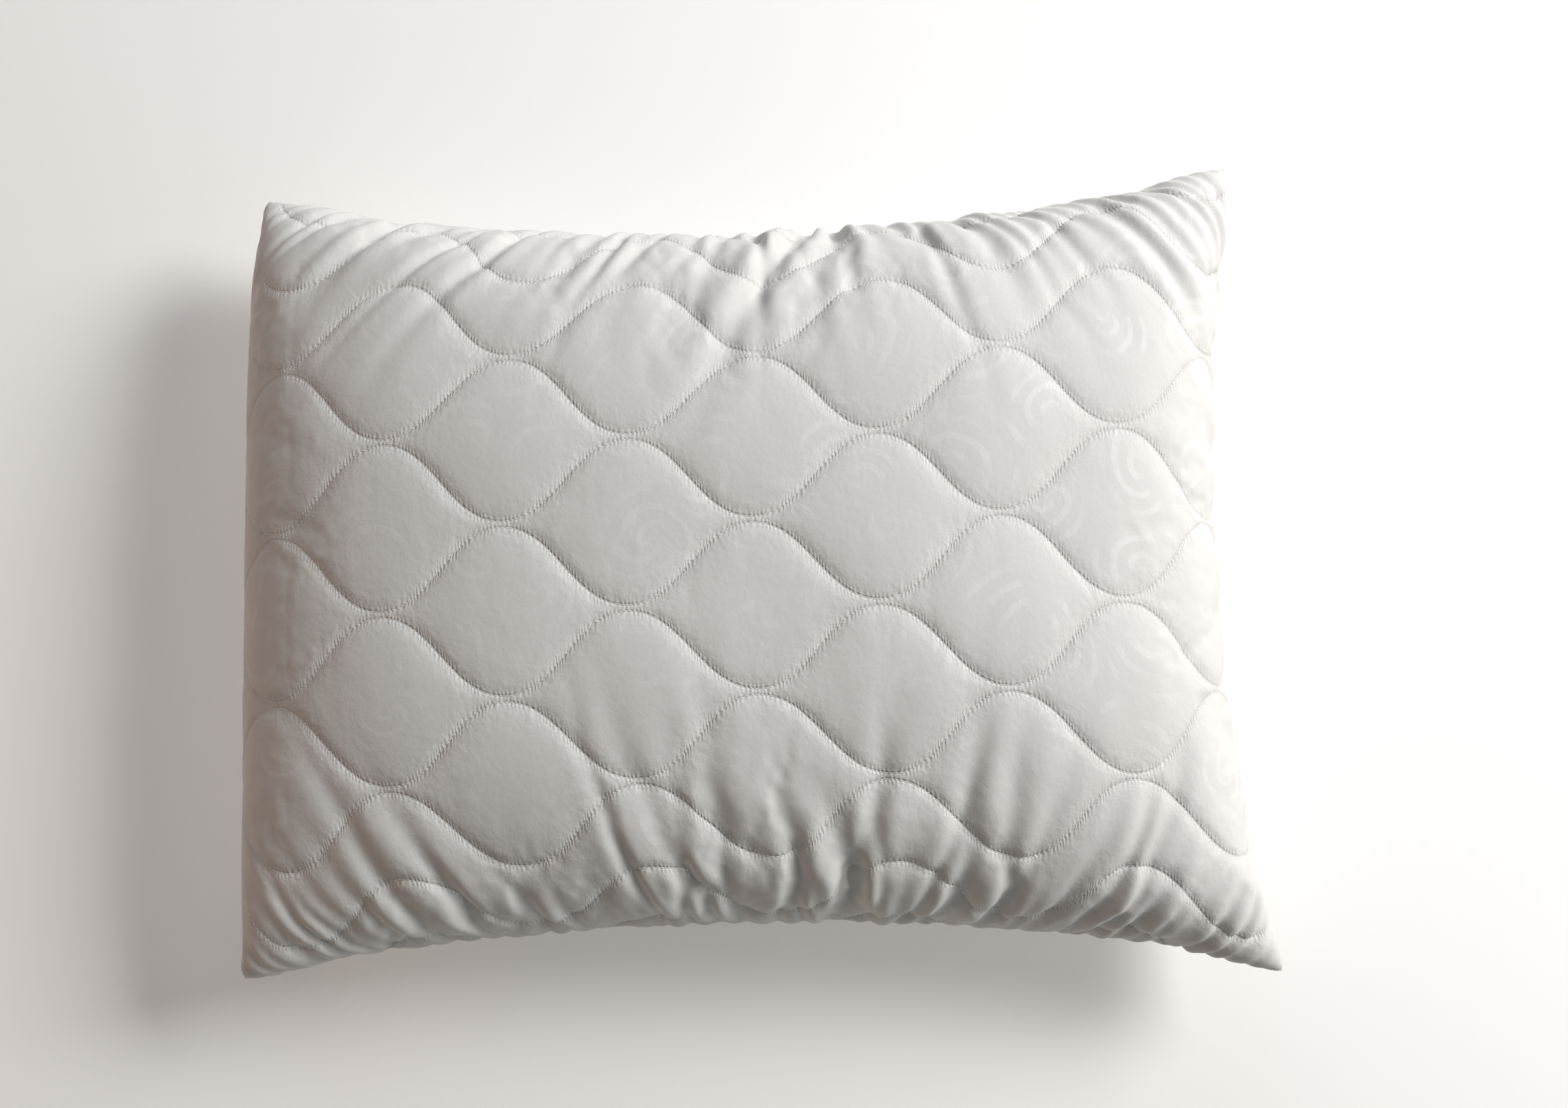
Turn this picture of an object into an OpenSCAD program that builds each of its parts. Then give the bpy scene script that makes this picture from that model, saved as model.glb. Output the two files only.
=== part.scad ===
// Quilted bed pillow that lies flat on its back panel.
// X runs along the long sides, Y along the short sides and Z up. The origin is the middle of the
// footprint, on the surface that the pillow lies on. Every layer is cut from one padded form: a layer is
// the space between two depths under the outer face.

/* [Pillow] */
// Length between the corner tips of the filled pillow
pillow_length = 622; // [480:1:800]
// Width between the corner tips of the filled pillow
pillow_width = 488; // [380:1:640]
// Height of the crown above the side seam
crown_height = 86; // [60:1:120]
// Height of the side seam above the surface under the pillow
seam_height = 66; // [45:1:100]
// Depth that the back panel would swell to if nothing were under it
belly_depth = 84; // [60:1:130]
// How far the long back edge draws in at its middle
back_draw_in = 31; // [0:1:60]
// How far the long front edge draws in at its middle
front_draw_in = 31; // [0:1:60]
// How far the plain short edge draws in at its middle
side_draw_in = 22; // [0:1:60]
// How far the short edge with the zip stands back between its corners
zip_side_recess = 6; // [6:0.5:14]
// How much further the back right corner reaches
back_right_reach = 12; // [0:1:30]
// Roundness of the form along its length, 2 is an ellipse and more is fuller
fullness_along = 4.4; // [2:0.1:6]
// Roundness of the form across its width
fullness_across = 3.2; // [2:0.1:6]

/* [Quilted panels] */
// Thickness of the microfibre face cloth
face_cloth = 0.4; // [0.3:0.1:1]
// Thickness of the wadding
wadding = 4; // [2:0.5:8]
// Thickness of the bonded lining behind the wadding
lining = 0.3; // [0.3:0.1:1]
// Room between one layer and the next
layer_room = 0.3; // [0.2:0.1:0.6]
// Length of one flat panel, seam to seam
panel_length = 700; // [540:1:900]
// Width of one flat panel, seam to seam
panel_width = 500; // [400:1:700]
// Distance between two quilting needles
needle_pitch = 49.5; // [35:0.5:80]
// Number of quilting lines across a panel
quilting_lines = 11; // [7:2:15]
// Number of middle lines that swap crest for trough with their neighbours
onion_lines = 7; // [3:2:9]
// Length of one wave of the quilting
wave_length = 150; // [100:1:220]
// Height of one wave, trough to crest
wave_height = 46; // [20:1:48]
// Place of the middle crest from the centre of the panel
crest_offset = 15; // [-70:1:70]
// Radius of the quilting thread with its loops
quilting_thread_r = 0.6; // [0.3:0.1:1]

/* [Side seam] */
// Radius of the lockstitch line
seam_thread_r = 0.6; // [0.3:0.1:1]
// Depth of the lockstitch line in from the edge
seam_thread_depth = 2.6; // [1.5:0.1:4]
// Width of the bound edge that turns inside
bound_edge_width = 3; // [2:0.5:5]
// Thickness of the bound edge
bound_edge_thick = 1.6; // [1:0.1:3]

/* [Zip] */
// Distance from a corner tip to the nearer end of the zip
zip_end_margin = 44; // [40:1:90]
// Half of the slot that the panel edges leave for the slider
zip_slot = 5; // [5:0.5:8]
// Radius of a coil row
coil_r = 1; // [0.7:0.1:1.4]
// Room between the two coil rows
coil_room = 1.2; // [1.2:0.1:2]
// Width of one tape
tape_width = 12; // [8:0.5:14]
// Thickness of one tape
tape_thick = 0.5; // [0.4:0.1:0.8]
// Length of the bar tack at each end of the coils
end_tack = 3; // [2:0.5:6]
// Length of the slider
slider_length = 9; // [8:0.5:12]
// Width of the slider
slider_width = 8.4; // [7.6:0.1:9]
// Thickness of each plate of the slider
slider_plate = 1.1; // [0.8:0.1:1.5]
// Running clearance around the slider
slider_room = 0.3; // [0.3:0.05:0.5]
// Length of the pull from its hinge
pull_length = 19; // [12:0.5:26]
// Width of the pull
pull_width = 5; // [4.6:0.1:7]
// Thickness of the pull
pull_thick = 1; // [0.8:0.1:1.4]
// Radius of the cross bar that the pull hinges on
pull_bar_r = 0.55; // [0.5:0.05:0.7]

/* [Inner pillow] */
// Room between the zip and the inner case
case_room = 1.6; // [1:0.1:4]
// Thickness of the inner case cloth
case_cloth = 0.4; // [0.3:0.1:1]
// Radius of the thread that closes the inner case
case_thread_r = 0.5; // [0.3:0.1:1]

/* [Care label] */
// Width of the blank label along the seam
label_width = 24; // [15:1:30]
// Drop of the label below the seam
label_drop = 38; // [20:1:45]
// Thickness of the folded label
label_thick = 0.4; // [0.3:0.1:0.8]

/* [Hidden] */

// Cells of the form along and across, closer together towards the edges.
cells_along = 18;
cells_across = 14;
// Room between the top and back panels where they meet at the seam.
seam_room = 0.3;
// Cells over which the slot at the zip closes again, as a share of the half length.
slot_run_out = 0.12;
// Half of the gap that the closing seam of the inner case leaves between its two cloths.
case_seam_gap = 0.3;
up = 1;
down = -1;

half_length = pillow_length / 2;
half_width = pillow_width / 2;
zip_half = half_width - zip_end_margin;
coil_half = zip_half - end_tack;
slider_rest_y = coil_half - slider_length / 2 - 0.5;
// The slot stays fully open as far as the pull reaches at either end of its travel.
slot_half = slider_rest_y + pull_length + 2;
slot_rows = [for (j = [0:cells_across]) if (slot_share(j) == 1) j];
last_slot_row = slot_rows[len(slot_rows) - 1];

wadding_depth = face_cloth + layer_room;
lining_depth = wadding_depth + wadding + layer_room;
stack = lining_depth + lining;
// The panels lean inwards as they rise from the slot, and the tapes stand clear of them all along.
tape_edge = coil_room / 2 + 0.6;
lean_rise = (min(crown_height, belly_depth) - stack) * rise(along(1), across(last_slot_row));
panel_lean = half_length * (1 + along(1)) / (lean_rise - zip_slot * (1 + along(1)) / slot_run_out);
tape_front_depth = stack + layer_room + panel_lean * max(0, tape_edge + tape_width - zip_slot);
coil_depth = tape_front_depth - coil_r;
slider_back_depth = tape_front_depth + tape_thick + slider_room + slider_plate;
case_depth = slider_back_depth + case_room;
fill_depth = case_depth + max(case_cloth, case_thread_r) + 2 * layer_room;
bound_edge_depth = stack + layer_room;

zip_x = -(half_length - zip_side_recess - coil_depth);
middle_shift = -back_right_reach / 2;

thread_white = [0.95, 0.95, 0.93];
cloth_white = [0.93, 0.93, 0.91];
fleece_white = [0.97, 0.97, 0.96];

// ---- the padded form ----

function along(i) = -cos(180 * i / cells_along);
function across(j) = -cos(180 * j / cells_across);
function clamp01(a) = min(1, max(0, a));
function inner_row(j) = j < cells_across / 2 ? j + 1 : j - 1;

// Open slot: 1 along the zip and as far as the pull reaches, and 0 at the corners.
function zip_share(t) = clamp01(half_width * (1 - abs(t)) / (half_width - slot_half));
function slot_share(j) = zip_share(across(inner_row(j))) * (j == 0 || j == cells_across ? 0 : 1);

function draw_in_x(s, share) = s < 0 ? zip_side_recess * share : 0;
function draw_in_right(s, t) = s < 0 ? 0 : side_draw_in * (1 - t * t);
function draw_in_y(s, t) = (t < 0 ? front_draw_in : back_draw_in) * pow(1 - s * s, 0.8);
function corner_reach(s, t) = back_right_reach * pow(max(0, s), 4) * pow(max(0, t), 3);

function rise(s, t) = sqrt(1 - pow(abs(s), fullness_along)) * sqrt(1 - pow(abs(t), fullness_across));
// Only the cover has the zip's slot. The inner case is sewn shut behind it, by a thread that fills its gap.
function slot(s, share, depth) =
    let (opening = depth < case_depth ? zip_slot : case_seam_gap)
        seam_room / 2 + opening * share * clamp01(1 - (1 + s) / slot_run_out);

// A point at a depth under the outer face, for any place on the form.
function form_point(s, t, share, depth, side) = [
    s * (half_length - depth - draw_in_x(s, share) - draw_in_right(s, t)),
    t * (half_width - depth - draw_in_y(s, t)) + corner_reach(s, t) + middle_shift,
    side > 0
        ? seam_height + slot(s, share, depth) + (crown_height - depth) * rise(s, t)
        : seam_height - min(seam_height - depth, slot(s, share, depth) + (belly_depth - depth) * rise(s, t))
];

function form_sheet(depth, side) = [
    for (i = [0:cells_along])
        for (j = [0:cells_across])
            form_point(along(i), across(j), slot_share(j), depth, side)
];

// Closed solid between an upper and a lower sheet of points on the same cells.
module between(upper, lower) {
    row = cells_across + 1;
    count = row * (cells_along + 1);
    cell_faces = [
        for (i = [0:cells_along - 1])
            for (j = [0:cells_across - 1])
                let (a = i * row + j, b = a + 1, c = a + row + 1, d = a + row)
                    each [[a, b, c], [a, c, d], [c + count, b + count, a + count],
                          [d + count, c + count, a + count]]
    ];
    front_back_faces = [
        for (i = [0:cells_along - 1])
            let (a = i * row, d = a + row, p = a + cells_across, q = d + cells_across)
                each [[a, d, d + count], [a, d + count, a + count],
                      [q, p, p + count], [q, p + count, q + count]]
    ];
    end_faces = [
        for (j = [0:cells_across - 1])
            let (a = j, b = j + 1, p = cells_along * row + j, q = p + 1)
                each [[b, a, a + count], [b, a + count, b + count],
                      [p, q, q + count], [p, q + count, p + count]]
    ];
    polyhedron(concat(upper, lower), concat(cell_faces, front_back_faces, end_faces));
}

// One layer of the top or back panel, from its outer depth inwards.
module layer(depth, thick, side) {
    if (side > 0) {
        between(form_sheet(depth, side), form_sheet(depth + thick, side));
    } else {
        between(form_sheet(depth + thick, side), form_sheet(depth, side));
    }
}

// ---- swept threads and bands ----

function unit(v) = v / norm(v);

// Solid swept along a list of rings, each a list of the same number of points.
module swept(rings) {
    sides = len(rings[0]);
    last = (len(rings) - 1) * sides;
    walls = [
        for (r = [0:len(rings) - 2])
            for (k = [0:sides - 1])
                let (a = r * sides + k, b = r * sides + (k + 1) % sides)
                    each [[a, b, b + sides], [a, b + sides, a + sides]]
    ];
    caps = [[for (k = [sides - 1:-1:0]) k], [for (k = [0:sides - 1]) last + k]];
    polyhedron([for (ring = rings) each ring], concat(walls, caps));
}

// Ring of a thread around point p, for a thread that runs from a to b.
function thread_ring(p, a, b, radius, sides) =
    let (ahead = unit(b - a), flat = unit(cross(ahead, [0, 0, 1])), high = cross(flat, ahead))
        [for (k = [0:sides - 1])
            p + radius * (cos(360 * k / sides) * flat - sin(360 * k / sides) * high)];

function thread_rings(path, radius, sides) = [
    for (n = [0:len(path) - 1])
        thread_ring(path[n], path[max(0, n - 1)], path[min(len(path) - 1, n + 1)], radius, sides)
];

// ---- quilting ----

quilting_steps = 12;
quilting_sides = 3;
middle_line = (quilting_lines - 1) / 2;
// A line stops this far inside the edge of the panel.
quilting_stop_x = panel_length / 2 - 12;
quilting_stop_y = panel_width / 2 - 7;

// The middle lines alternate. The outer lines follow the last of them in step.
function line_sign(n) =
    let (from_middle = min(abs(n), (onion_lines - 1) / 2))
        from_middle % 2 == ((onion_lines - 1) / 2) % 2 ? -1 : 1;
function wave_y(n, x) =
    n * needle_pitch + line_sign(n) * wave_height / 2 * cos(360 * (x - crest_offset) / wave_length);

function quilting_point(n, x, side) =
    let (s = x / (panel_length / 2), t = wave_y(n, x) / (panel_width / 2))
        form_point(s, t, 0, side > 0 ? quilting_thread_r / 2 : 2 * quilting_thread_r, side);

// Runs of a line that stay on the panel: one for a middle line, an arc at each inner bend for an outer one.
function on_panel(n, x) = abs(wave_y(n, x)) < quilting_stop_y && abs(x) < quilting_stop_x;

module quilting(side) {
    step = wave_length / quilting_steps;
    count = floor(panel_length / step);
    for (n = [-middle_line:middle_line]) {
        xs = [for (k = [0:count]) -panel_length / 2 + (k + 0.5) * step];
        starts = [for (k = [1:count]) if (on_panel(n, xs[k]) && !on_panel(n, xs[k - 1])) k];
        for (first = starts) {
            stops = [for (k = [first:count]) if (k == count || !on_panel(n, xs[k + 1])) k];
            run = [for (k = [first:stops[0]]) quilting_point(n, xs[k], side)];
            if (len(run) > 2) {
                swept(thread_rings(run, quilting_thread_r, quilting_sides));
            }
        }
    }
}

// ---- round the seam ----

// The edge at a depth, on the same cells as the layers: side 0 is the zip side, then back, plain and front.
function edge_cell(edge, k, depth) =
    let (
        i = edge == 0 ? 0 : edge == 1 ? k : edge == 2 ? cells_along : cells_along - k,
        j = edge == 0 ? k : edge == 1 ? cells_across : edge == 2 ? cells_across - k : 0,
        p = form_point(along(i), across(j), slot_share(j), depth, up)
    )
        [p[0], p[1], seam_height];

// Round the pillow at a depth in from the edge, from one row of the zip side to another.
function edge_path(depth, first_row, last_row) = [
    for (j = [first_row:cells_across - 1]) edge_cell(0, j, depth),
    for (k = [0:cells_along - 1]) edge_cell(1, k, depth),
    for (k = [0:cells_across - 1]) edge_cell(2, k, depth),
    for (k = [0:cells_along - 1]) edge_cell(3, k, depth),
    for (j = [0:last_row]) edge_cell(0, j, depth)
];

// The cover's seam runs from the slot's back end round to its front end.
function seam_path(depth) = edge_path(depth, last_slot_row, cells_across - last_slot_row);

// ---- panels ----

module top_face_cloth() color(cloth_white) layer(0, face_cloth, up);
module top_wadding() color(fleece_white) layer(wadding_depth, wadding, up);
module top_lining() color(fleece_white) layer(lining_depth, lining, up);
module top_quilting_thread() color(thread_white) quilting(up);
module back_face_cloth() color(cloth_white) layer(0, face_cloth, down);
module back_wadding() color(fleece_white) layer(wadding_depth, wadding, down);
module back_lining() color(fleece_white) layer(lining_depth, lining, down);
module back_quilting_thread() color(thread_white) quilting(down);

// ---- side seam ----

module side_seam_thread() color(thread_white)
    swept(thread_rings(seam_path(seam_thread_depth), seam_thread_r, 6));

// Both panels turn in at the seam, and an overlock binds their edges together.
module bound_seam_edge() color(thread_white) {
    outer = seam_path(bound_edge_depth);
    inner = seam_path(bound_edge_depth + bound_edge_width);
    half = [0, 0, bound_edge_thick / 2];
    swept([for (n = [0:len(outer) - 1])
        [outer[n] + half, outer[n] - half, inner[n] - half, inner[n] + half]]);
}

// Folded satin label, caught in the back seam, where it hangs under the pillow's edge. It has no print.
label_cell = 6;
label_stand_off = 0.3;
label_tongue = 4;
module care_label() color(thread_white) {
    spot = edge_cell(1, label_cell, 0);
    along_edge = edge_cell(1, label_cell + 1, 0) - edge_cell(1, label_cell - 1, 0);
    translate(spot) rotate([0, 0, atan2(along_edge[1], along_edge[0])]) {
        translate([-label_width / 2, label_stand_off, -label_drop])
            cube([label_width, label_thick, label_drop + seam_room / 4]);
        translate([-label_width / 2, -label_tongue, -seam_room / 4])
            cube([label_width, label_tongue + label_stand_off, seam_room / 2]);
    }
}

// ---- zip ----

// Zip parts are drawn with X across the zip, Y along it and Z out of the pillow.
module on_zip(y = 0) {
    translate([zip_x, y + middle_shift, seam_height]) rotate([0, -90, 0]) children();
}

coil_x = coil_room / 2 + coil_r;

module zip_tape(side) {
    on_zip()
        translate([side > 0 ? tape_edge : -tape_edge - tape_width, -zip_half, -coil_r - tape_thick])
            cube([tape_width, 2 * zip_half, tape_thick]);
}
module zip_coil(side) {
    on_zip() translate([side * coil_x, coil_half, 0]) rotate([90, 0, 0])
        cylinder(r = coil_r, h = 2 * coil_half, $fn = 24);
}
module zip_tape_upper() color(cloth_white) zip_tape(up);
module zip_tape_lower() color(cloth_white) zip_tape(down);
module zip_coil_upper() color(thread_white) zip_coil(up);
module zip_coil_lower() color(thread_white) zip_coil(down);

// A bar tack over both coil rows at each end stops the slider.
module zip_end_tacks() color(thread_white) {
    tack_half = coil_x + coil_r + 0.6;
    for (end = [-1, 1]) {
        on_zip(end * (coil_half + end_tack / 2)) translate([-tack_half, -end_tack / 2, -coil_r])
            cube([2 * tack_half, end_tack, 2 * coil_r]);
    }
}

// One line of stitching near the far edge of each tape.
stitching_r = 0.4;
stitching_inset = 3;
module zip_stitching() color(thread_white) {
    for (side = [-1, 1]) {
        on_zip()
            translate([side * (tape_edge + tape_width - stitching_inset), zip_half, -coil_r - tape_thick])
                rotate([90, 0, 0])
                    cylinder(r = stitching_r, h = 2 * zip_half, $fn = 24);
    }
}

front_plate_z = coil_r + slider_room;
rear_plate_z = -coil_r - tape_thick - slider_room - slider_plate;
flange_x = coil_x + coil_r + slider_room;
post_width = coil_room - 2 * slider_room;
post_length = 2.4;
nose_share = 0.7;
bail_wall = 0.8;
bail_width = 1.6;
bail_span = 5;
bail_clear = 0.25;
bail_inside = 2 * pull_bar_r + 2 * bail_clear;
pull_axis_z = front_plate_z + slider_plate + bail_clear + pull_bar_r;

// Plate of the slider, narrower at the tail than at the mouth where the two rows come in.
module slider_plate_shape() {
    wide = slider_width / 2;
    tail = wide * nose_share + flange_x * (1 - nose_share) + 0.2;
    long = slider_length / 2;
    linear_extrude(height = slider_plate)
        polygon([[-wide, long - 1], [-wide + 1, long], [wide - 1, long], [wide, long - 1],
                 [wide, 0], [tail, -long], [-tail, -long], [-wide, 0]]);
}

module zip_slider() color([0.86, 0.86, 0.85]) on_zip(slider_rest_y) {
    translate([0, 0, front_plate_z]) slider_plate_shape();
    translate([0, 0, rear_plate_z]) slider_plate_shape();
    translate([-post_width / 2, slider_length / 2 - 1 - post_length, rear_plate_z])
        cube([post_width, post_length, front_plate_z - rear_plate_z + slider_plate]);
    for (side = [-1, 1]) {
        translate([side > 0 ? flange_x : -flange_x - 0.6, -slider_length / 2 + 0.3, -coil_r + slider_room])
            cube([0.6, slider_length - 1.6, front_plate_z + coil_r - slider_room + slider_plate / 2]);
    }
    translate([-bail_width / 2, -bail_span / 2, front_plate_z + slider_plate]) difference() {
        cube([bail_width, bail_span, bail_inside + bail_wall]);
        translate([-1, bail_wall, -1]) cube([bail_width + 2, bail_span - 2 * bail_wall, bail_inside + 1]);
    }
}

// The pull's cross bar runs under the bail, and its two arms pass the bail on either side.
arm_width = (pull_width - bail_width) / 2 - slider_room;
arm_length = bail_span / 2 + 1;
module zip_pull() color([0.86, 0.86, 0.85]) on_zip(slider_rest_y) translate([0, 0, pull_axis_z]) {
    translate([-pull_width / 2, 0, 0]) rotate([0, 90, 0]) cylinder(r = pull_bar_r, h = pull_width, $fn = 32);
    for (side = [-1, 1]) {
        arm_x = side > 0 ? pull_width / 2 - arm_width : -pull_width / 2;
        translate([arm_x, -arm_length - 0.5, -pull_thick / 2])
            cube([arm_width, arm_length + 0.5, pull_thick]);
    }
    translate([-pull_width / 2, -pull_length + pull_width / 2, -pull_thick / 2])
        cube([pull_width, pull_length - pull_width / 2 - arm_length, pull_thick]);
    translate([0, -pull_length + pull_width / 2, -pull_thick / 2])
        cylinder(r = pull_width / 2, h = pull_thick, $fn = 48);
}

// ---- inner pillow ----

module inner_case_top() color(fleece_white) layer(case_depth, case_cloth, up);
module inner_case_back() color(fleece_white) layer(case_depth, case_cloth, down);

// The case is closed all round: the thread runs through its edge.
module inner_case_thread() color(thread_white) {
    swept(thread_rings(edge_path(case_depth, 1, 0), case_thread_r, 4));
}

module fibre_fill() color([0.98, 0.98, 0.97])
    between(form_sheet(fill_depth, up), form_sheet(fill_depth, down));

top_face_cloth();
top_wadding();
top_lining();
top_quilting_thread();
back_face_cloth();
back_wadding();
back_lining();
back_quilting_thread();
side_seam_thread();
bound_seam_edge();
care_label();
zip_tape_upper();
zip_tape_lower();
zip_coil_upper();
zip_coil_lower();
zip_end_tacks();
zip_stitching();
zip_slider();
zip_pull();
inner_case_top();
inner_case_back();
inner_case_thread();
fibre_fill();
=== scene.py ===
"""A quilted bed pillow: two quilted panels sewn together, a zip in one short side, and an inner pillow.

Lengths are in millimetres up to the moment a mesh is made, and every finished mesh is in metres.
"""

import logging
import math
from collections.abc import Callable
from dataclasses import dataclass, field
from enum import Enum

import bmesh
import bpy
import numpy as np
from mathutils import Matrix, Quaternion, Vector


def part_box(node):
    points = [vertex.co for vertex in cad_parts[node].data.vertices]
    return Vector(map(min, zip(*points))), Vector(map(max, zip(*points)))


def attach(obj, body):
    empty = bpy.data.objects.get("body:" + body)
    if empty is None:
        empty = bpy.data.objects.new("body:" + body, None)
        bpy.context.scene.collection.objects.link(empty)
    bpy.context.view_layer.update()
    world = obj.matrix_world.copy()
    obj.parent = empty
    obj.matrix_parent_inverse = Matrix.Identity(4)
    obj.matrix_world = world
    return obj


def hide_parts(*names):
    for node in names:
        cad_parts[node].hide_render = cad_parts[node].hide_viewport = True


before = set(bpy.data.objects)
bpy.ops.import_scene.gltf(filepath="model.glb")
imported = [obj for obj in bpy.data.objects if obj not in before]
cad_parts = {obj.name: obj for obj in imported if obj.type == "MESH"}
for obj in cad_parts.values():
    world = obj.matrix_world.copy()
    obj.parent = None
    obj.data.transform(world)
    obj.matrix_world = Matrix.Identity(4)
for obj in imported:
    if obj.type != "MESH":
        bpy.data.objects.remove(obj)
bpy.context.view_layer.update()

MM = 0.001
FLOOR_GAP = 0.15
log = logging.getLogger("pillow")


class Side(Enum):
    """The two panels of the cover. The value is the direction in which a panel bulges."""

    TOP = 1
    BACK = -1

    @property
    def word(self) -> str:
        """The side's name at the start of the names of its pieces."""
        return self.name.lower()


# ---------------------------------------------------------------- curves and fields


def smoothstep(low: float, high: float, x: np.ndarray) -> np.ndarray:
    """0 below low, 1 above high, and smooth between."""
    a = np.clip((x - low) / (high - low), 0.0, 1.0)
    return a * a * (3.0 - 2.0 * a)


def spread_matrix(at: np.ndarray, count: int) -> np.ndarray:
    """Weights that read evenly spaced samples at other places, through a smooth curve.

    Args:
        at: the places, counted in samples from 0 to count - 1.
        count: the number of samples.

    Returns:
        A matrix with a row for each place and a column for each sample.
    """
    weights = np.zeros((len(at), count))
    base = np.clip(np.floor(at).astype(int), 0, count - 2)
    f = at - base
    parts = (
        -0.5 * f + f**2 - 0.5 * f**3,
        1.0 - 2.5 * f**2 + 1.5 * f**3,
        0.5 * f + 2.0 * f**2 - 1.5 * f**3,
        -0.5 * f**2 + 0.5 * f**3,
    )
    rows = np.arange(len(at))
    for k, part in enumerate(parts):
        np.add.at(weights, (rows, np.clip(base + k - 1, 0, count - 1)), part)
    return weights


def blur_matrix(count: int, radius: float) -> np.ndarray:
    """Weights that blur a row of samples by a bell curve of this radius, in samples."""
    k = np.arange(count)
    weights = np.exp(-0.5 * ((k[:, None] - k[None, :]) / radius) ** 2)
    return weights / weights.sum(axis=1, keepdims=True)


def resample(columns: np.ndarray, net: np.ndarray, rows: np.ndarray) -> np.ndarray:
    """Reads a net of vectors with one weight matrix along it and one across."""
    return np.stack([columns @ net[..., axis] @ rows.T for axis in range(net.shape[-1])], axis=-1)


def uneven_field(u: np.ndarray, v: np.ndarray, grain_u: float, grain_v: float, seed: int) -> np.ndarray:
    """A smooth random field over a panel, between about -1 and 1.

    Args:
        u: the columns' places along the panel.
        v: the rows' places across the panel.
        grain_u: distance between independent values along the panel.
        grain_v: distance between independent values across the panel.
        seed: the number the random values start from.

    Returns:
        An array with a value for each column and row.
    """
    nu, nv = int(np.ptp(u) / grain_u) + 3, int(np.ptp(v) / grain_v) + 3
    loose = np.random.default_rng(seed).uniform(-1.0, 1.0, (nu, nv))
    return spread_matrix((u - u[0]) / grain_u, nu) @ loose @ spread_matrix((v - v[0]) / grain_v, nv).T


def uneven_line(x: np.ndarray, grain: float, seed: int) -> np.ndarray:
    """A smooth random function of a length, between about -1 and 1."""
    count = 1024
    values = np.random.default_rng(seed).uniform(-1.0, 1.0, count)
    at = np.mod(x / grain, count)
    k = np.floor(at).astype(int)
    f = at - k
    f = f * f * (3.0 - 2.0 * f)
    return values[k % count] * (1.0 - f) + values[(k + 1) % count] * f


# ---------------------------------------------------------------- the pillow's form


@dataclass(frozen=True)
class PillowForm:
    """The filled pillow's smooth form: the CAD model's sizes, with softer sides and round corners.

    Attributes:
        slot_run_out: how far the zip's slot runs in from the side, as a share of half the length.
        seam_room: distance between the two panels at the seam.
        floor_bend: how softly the belly bends where it comes to rest on the floor.
        corner_radii: radii at the zip's front and back corner, then at the plain side's.
    """

    length: float = 622.0
    width: float = 488.0
    crown: float = 86.0
    belly: float = 84.0
    seam_z: float = 66.0
    back_draw_in: float = 31.0
    front_draw_in: float = 31.0
    side_draw_in: float = 22.0
    zip_recess: float = 6.0
    back_left_reach: float = 13.0
    back_right_reach: float = 12.0
    front_right_reach: float = 7.0
    front_right_point: float = 6.0
    fullness_along: float = 3.4
    fullness_across: float = 2.9
    zip_slot: float = 5.0
    slot_half: float = 213.0
    slot_run_out: float = 0.12
    seam_room: float = 0.3
    floor_bend: float = 2.5
    corner_radii: tuple[float, ...] = (26.0, 58.0, 15.0, 26.0)

    def slot_share(self, t: np.ndarray) -> np.ndarray:
        """How far the slot for the zip is open: 1 along the zip and 0 at the corners."""
        half = self.width / 2
        return smoothstep(0.0, 1.0, half * (1.0 - np.abs(t)) / (half - self.slot_half))

    def rise(self, s: np.ndarray, t: np.ndarray) -> np.ndarray:
        """Height share of the form: 1 at the crown and 0 at the seam."""
        along = np.sqrt(np.maximum(0.0, 1.0 - np.abs(s) ** self.fullness_along))
        across = np.sqrt(np.maximum(0.0, 1.0 - np.abs(t) ** self.fullness_across))
        return along * across

    def point(self, s: np.ndarray, t: np.ndarray, side: Side, depth: float = 0.0) -> np.ndarray:
        """Points of the form.

        Args:
            s: places along, from -1 at the zip side to 1.
            t: places across, from -1 at the front to 1.
            side: which panel.
            depth: how far inside the outer face.

        Returns:
            The points, with x, y and z on the last axis.
        """
        s, t = np.broadcast_arrays(s, t)
        share = self.slot_share(t)
        draw_x = np.where(s < 0, self.zip_recess * share, self.side_draw_in * (1.0 - t * t))
        draw_y = np.where(t < 0, self.front_draw_in, self.back_draw_in) * np.maximum(0.0, 1.0 - s * s) ** 0.8
        left, right = np.maximum(0.0, -s), np.maximum(0.0, s)
        front, back = np.maximum(0.0, -t), np.maximum(0.0, t)
        reach = (
            self.back_right_reach * (right**1.4 * back**3 - 0.5)
            - self.front_right_reach * right**1.6 * front**3
            + self.back_left_reach * left**4 * back**3
        )
        run_out = np.clip(1.0 - (1.0 + s) / self.slot_run_out, 0.0, 1.0)
        gap = self.seam_room / 2 + self.zip_slot * share * run_out
        x = s * (self.length / 2 - depth - draw_x) + self.front_right_point * right**6 * front**2
        y = t * (self.width / 2 - depth - draw_y) + reach
        if side is Side.TOP:
            z = self.seam_z + gap + (self.crown - depth) * self.rise(s, t)
        else:
            sink = gap + (self.belly - depth) * self.rise(s, t)
            floor = self.seam_z - depth
            z = self.seam_z - (floor - np.logaddexp(0.0, (floor - sink) / self.floor_bend) * self.floor_bend)
        for radius, (end, edge) in zip(self.corner_radii, ((-1, -1), (-1, 1), (1, -1), (1, 1))):
            push = (1.0 - math.sqrt(0.5)) * radius
            away = (1.0 - end * s) * self.length / 2 + (1.0 - edge * t) * self.width / 2
            inward = push * np.exp(-away / (2.0 * push))
            x, y = x - end * inward, y - edge * inward
        return np.stack([x, y, z], axis=-1)


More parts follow.
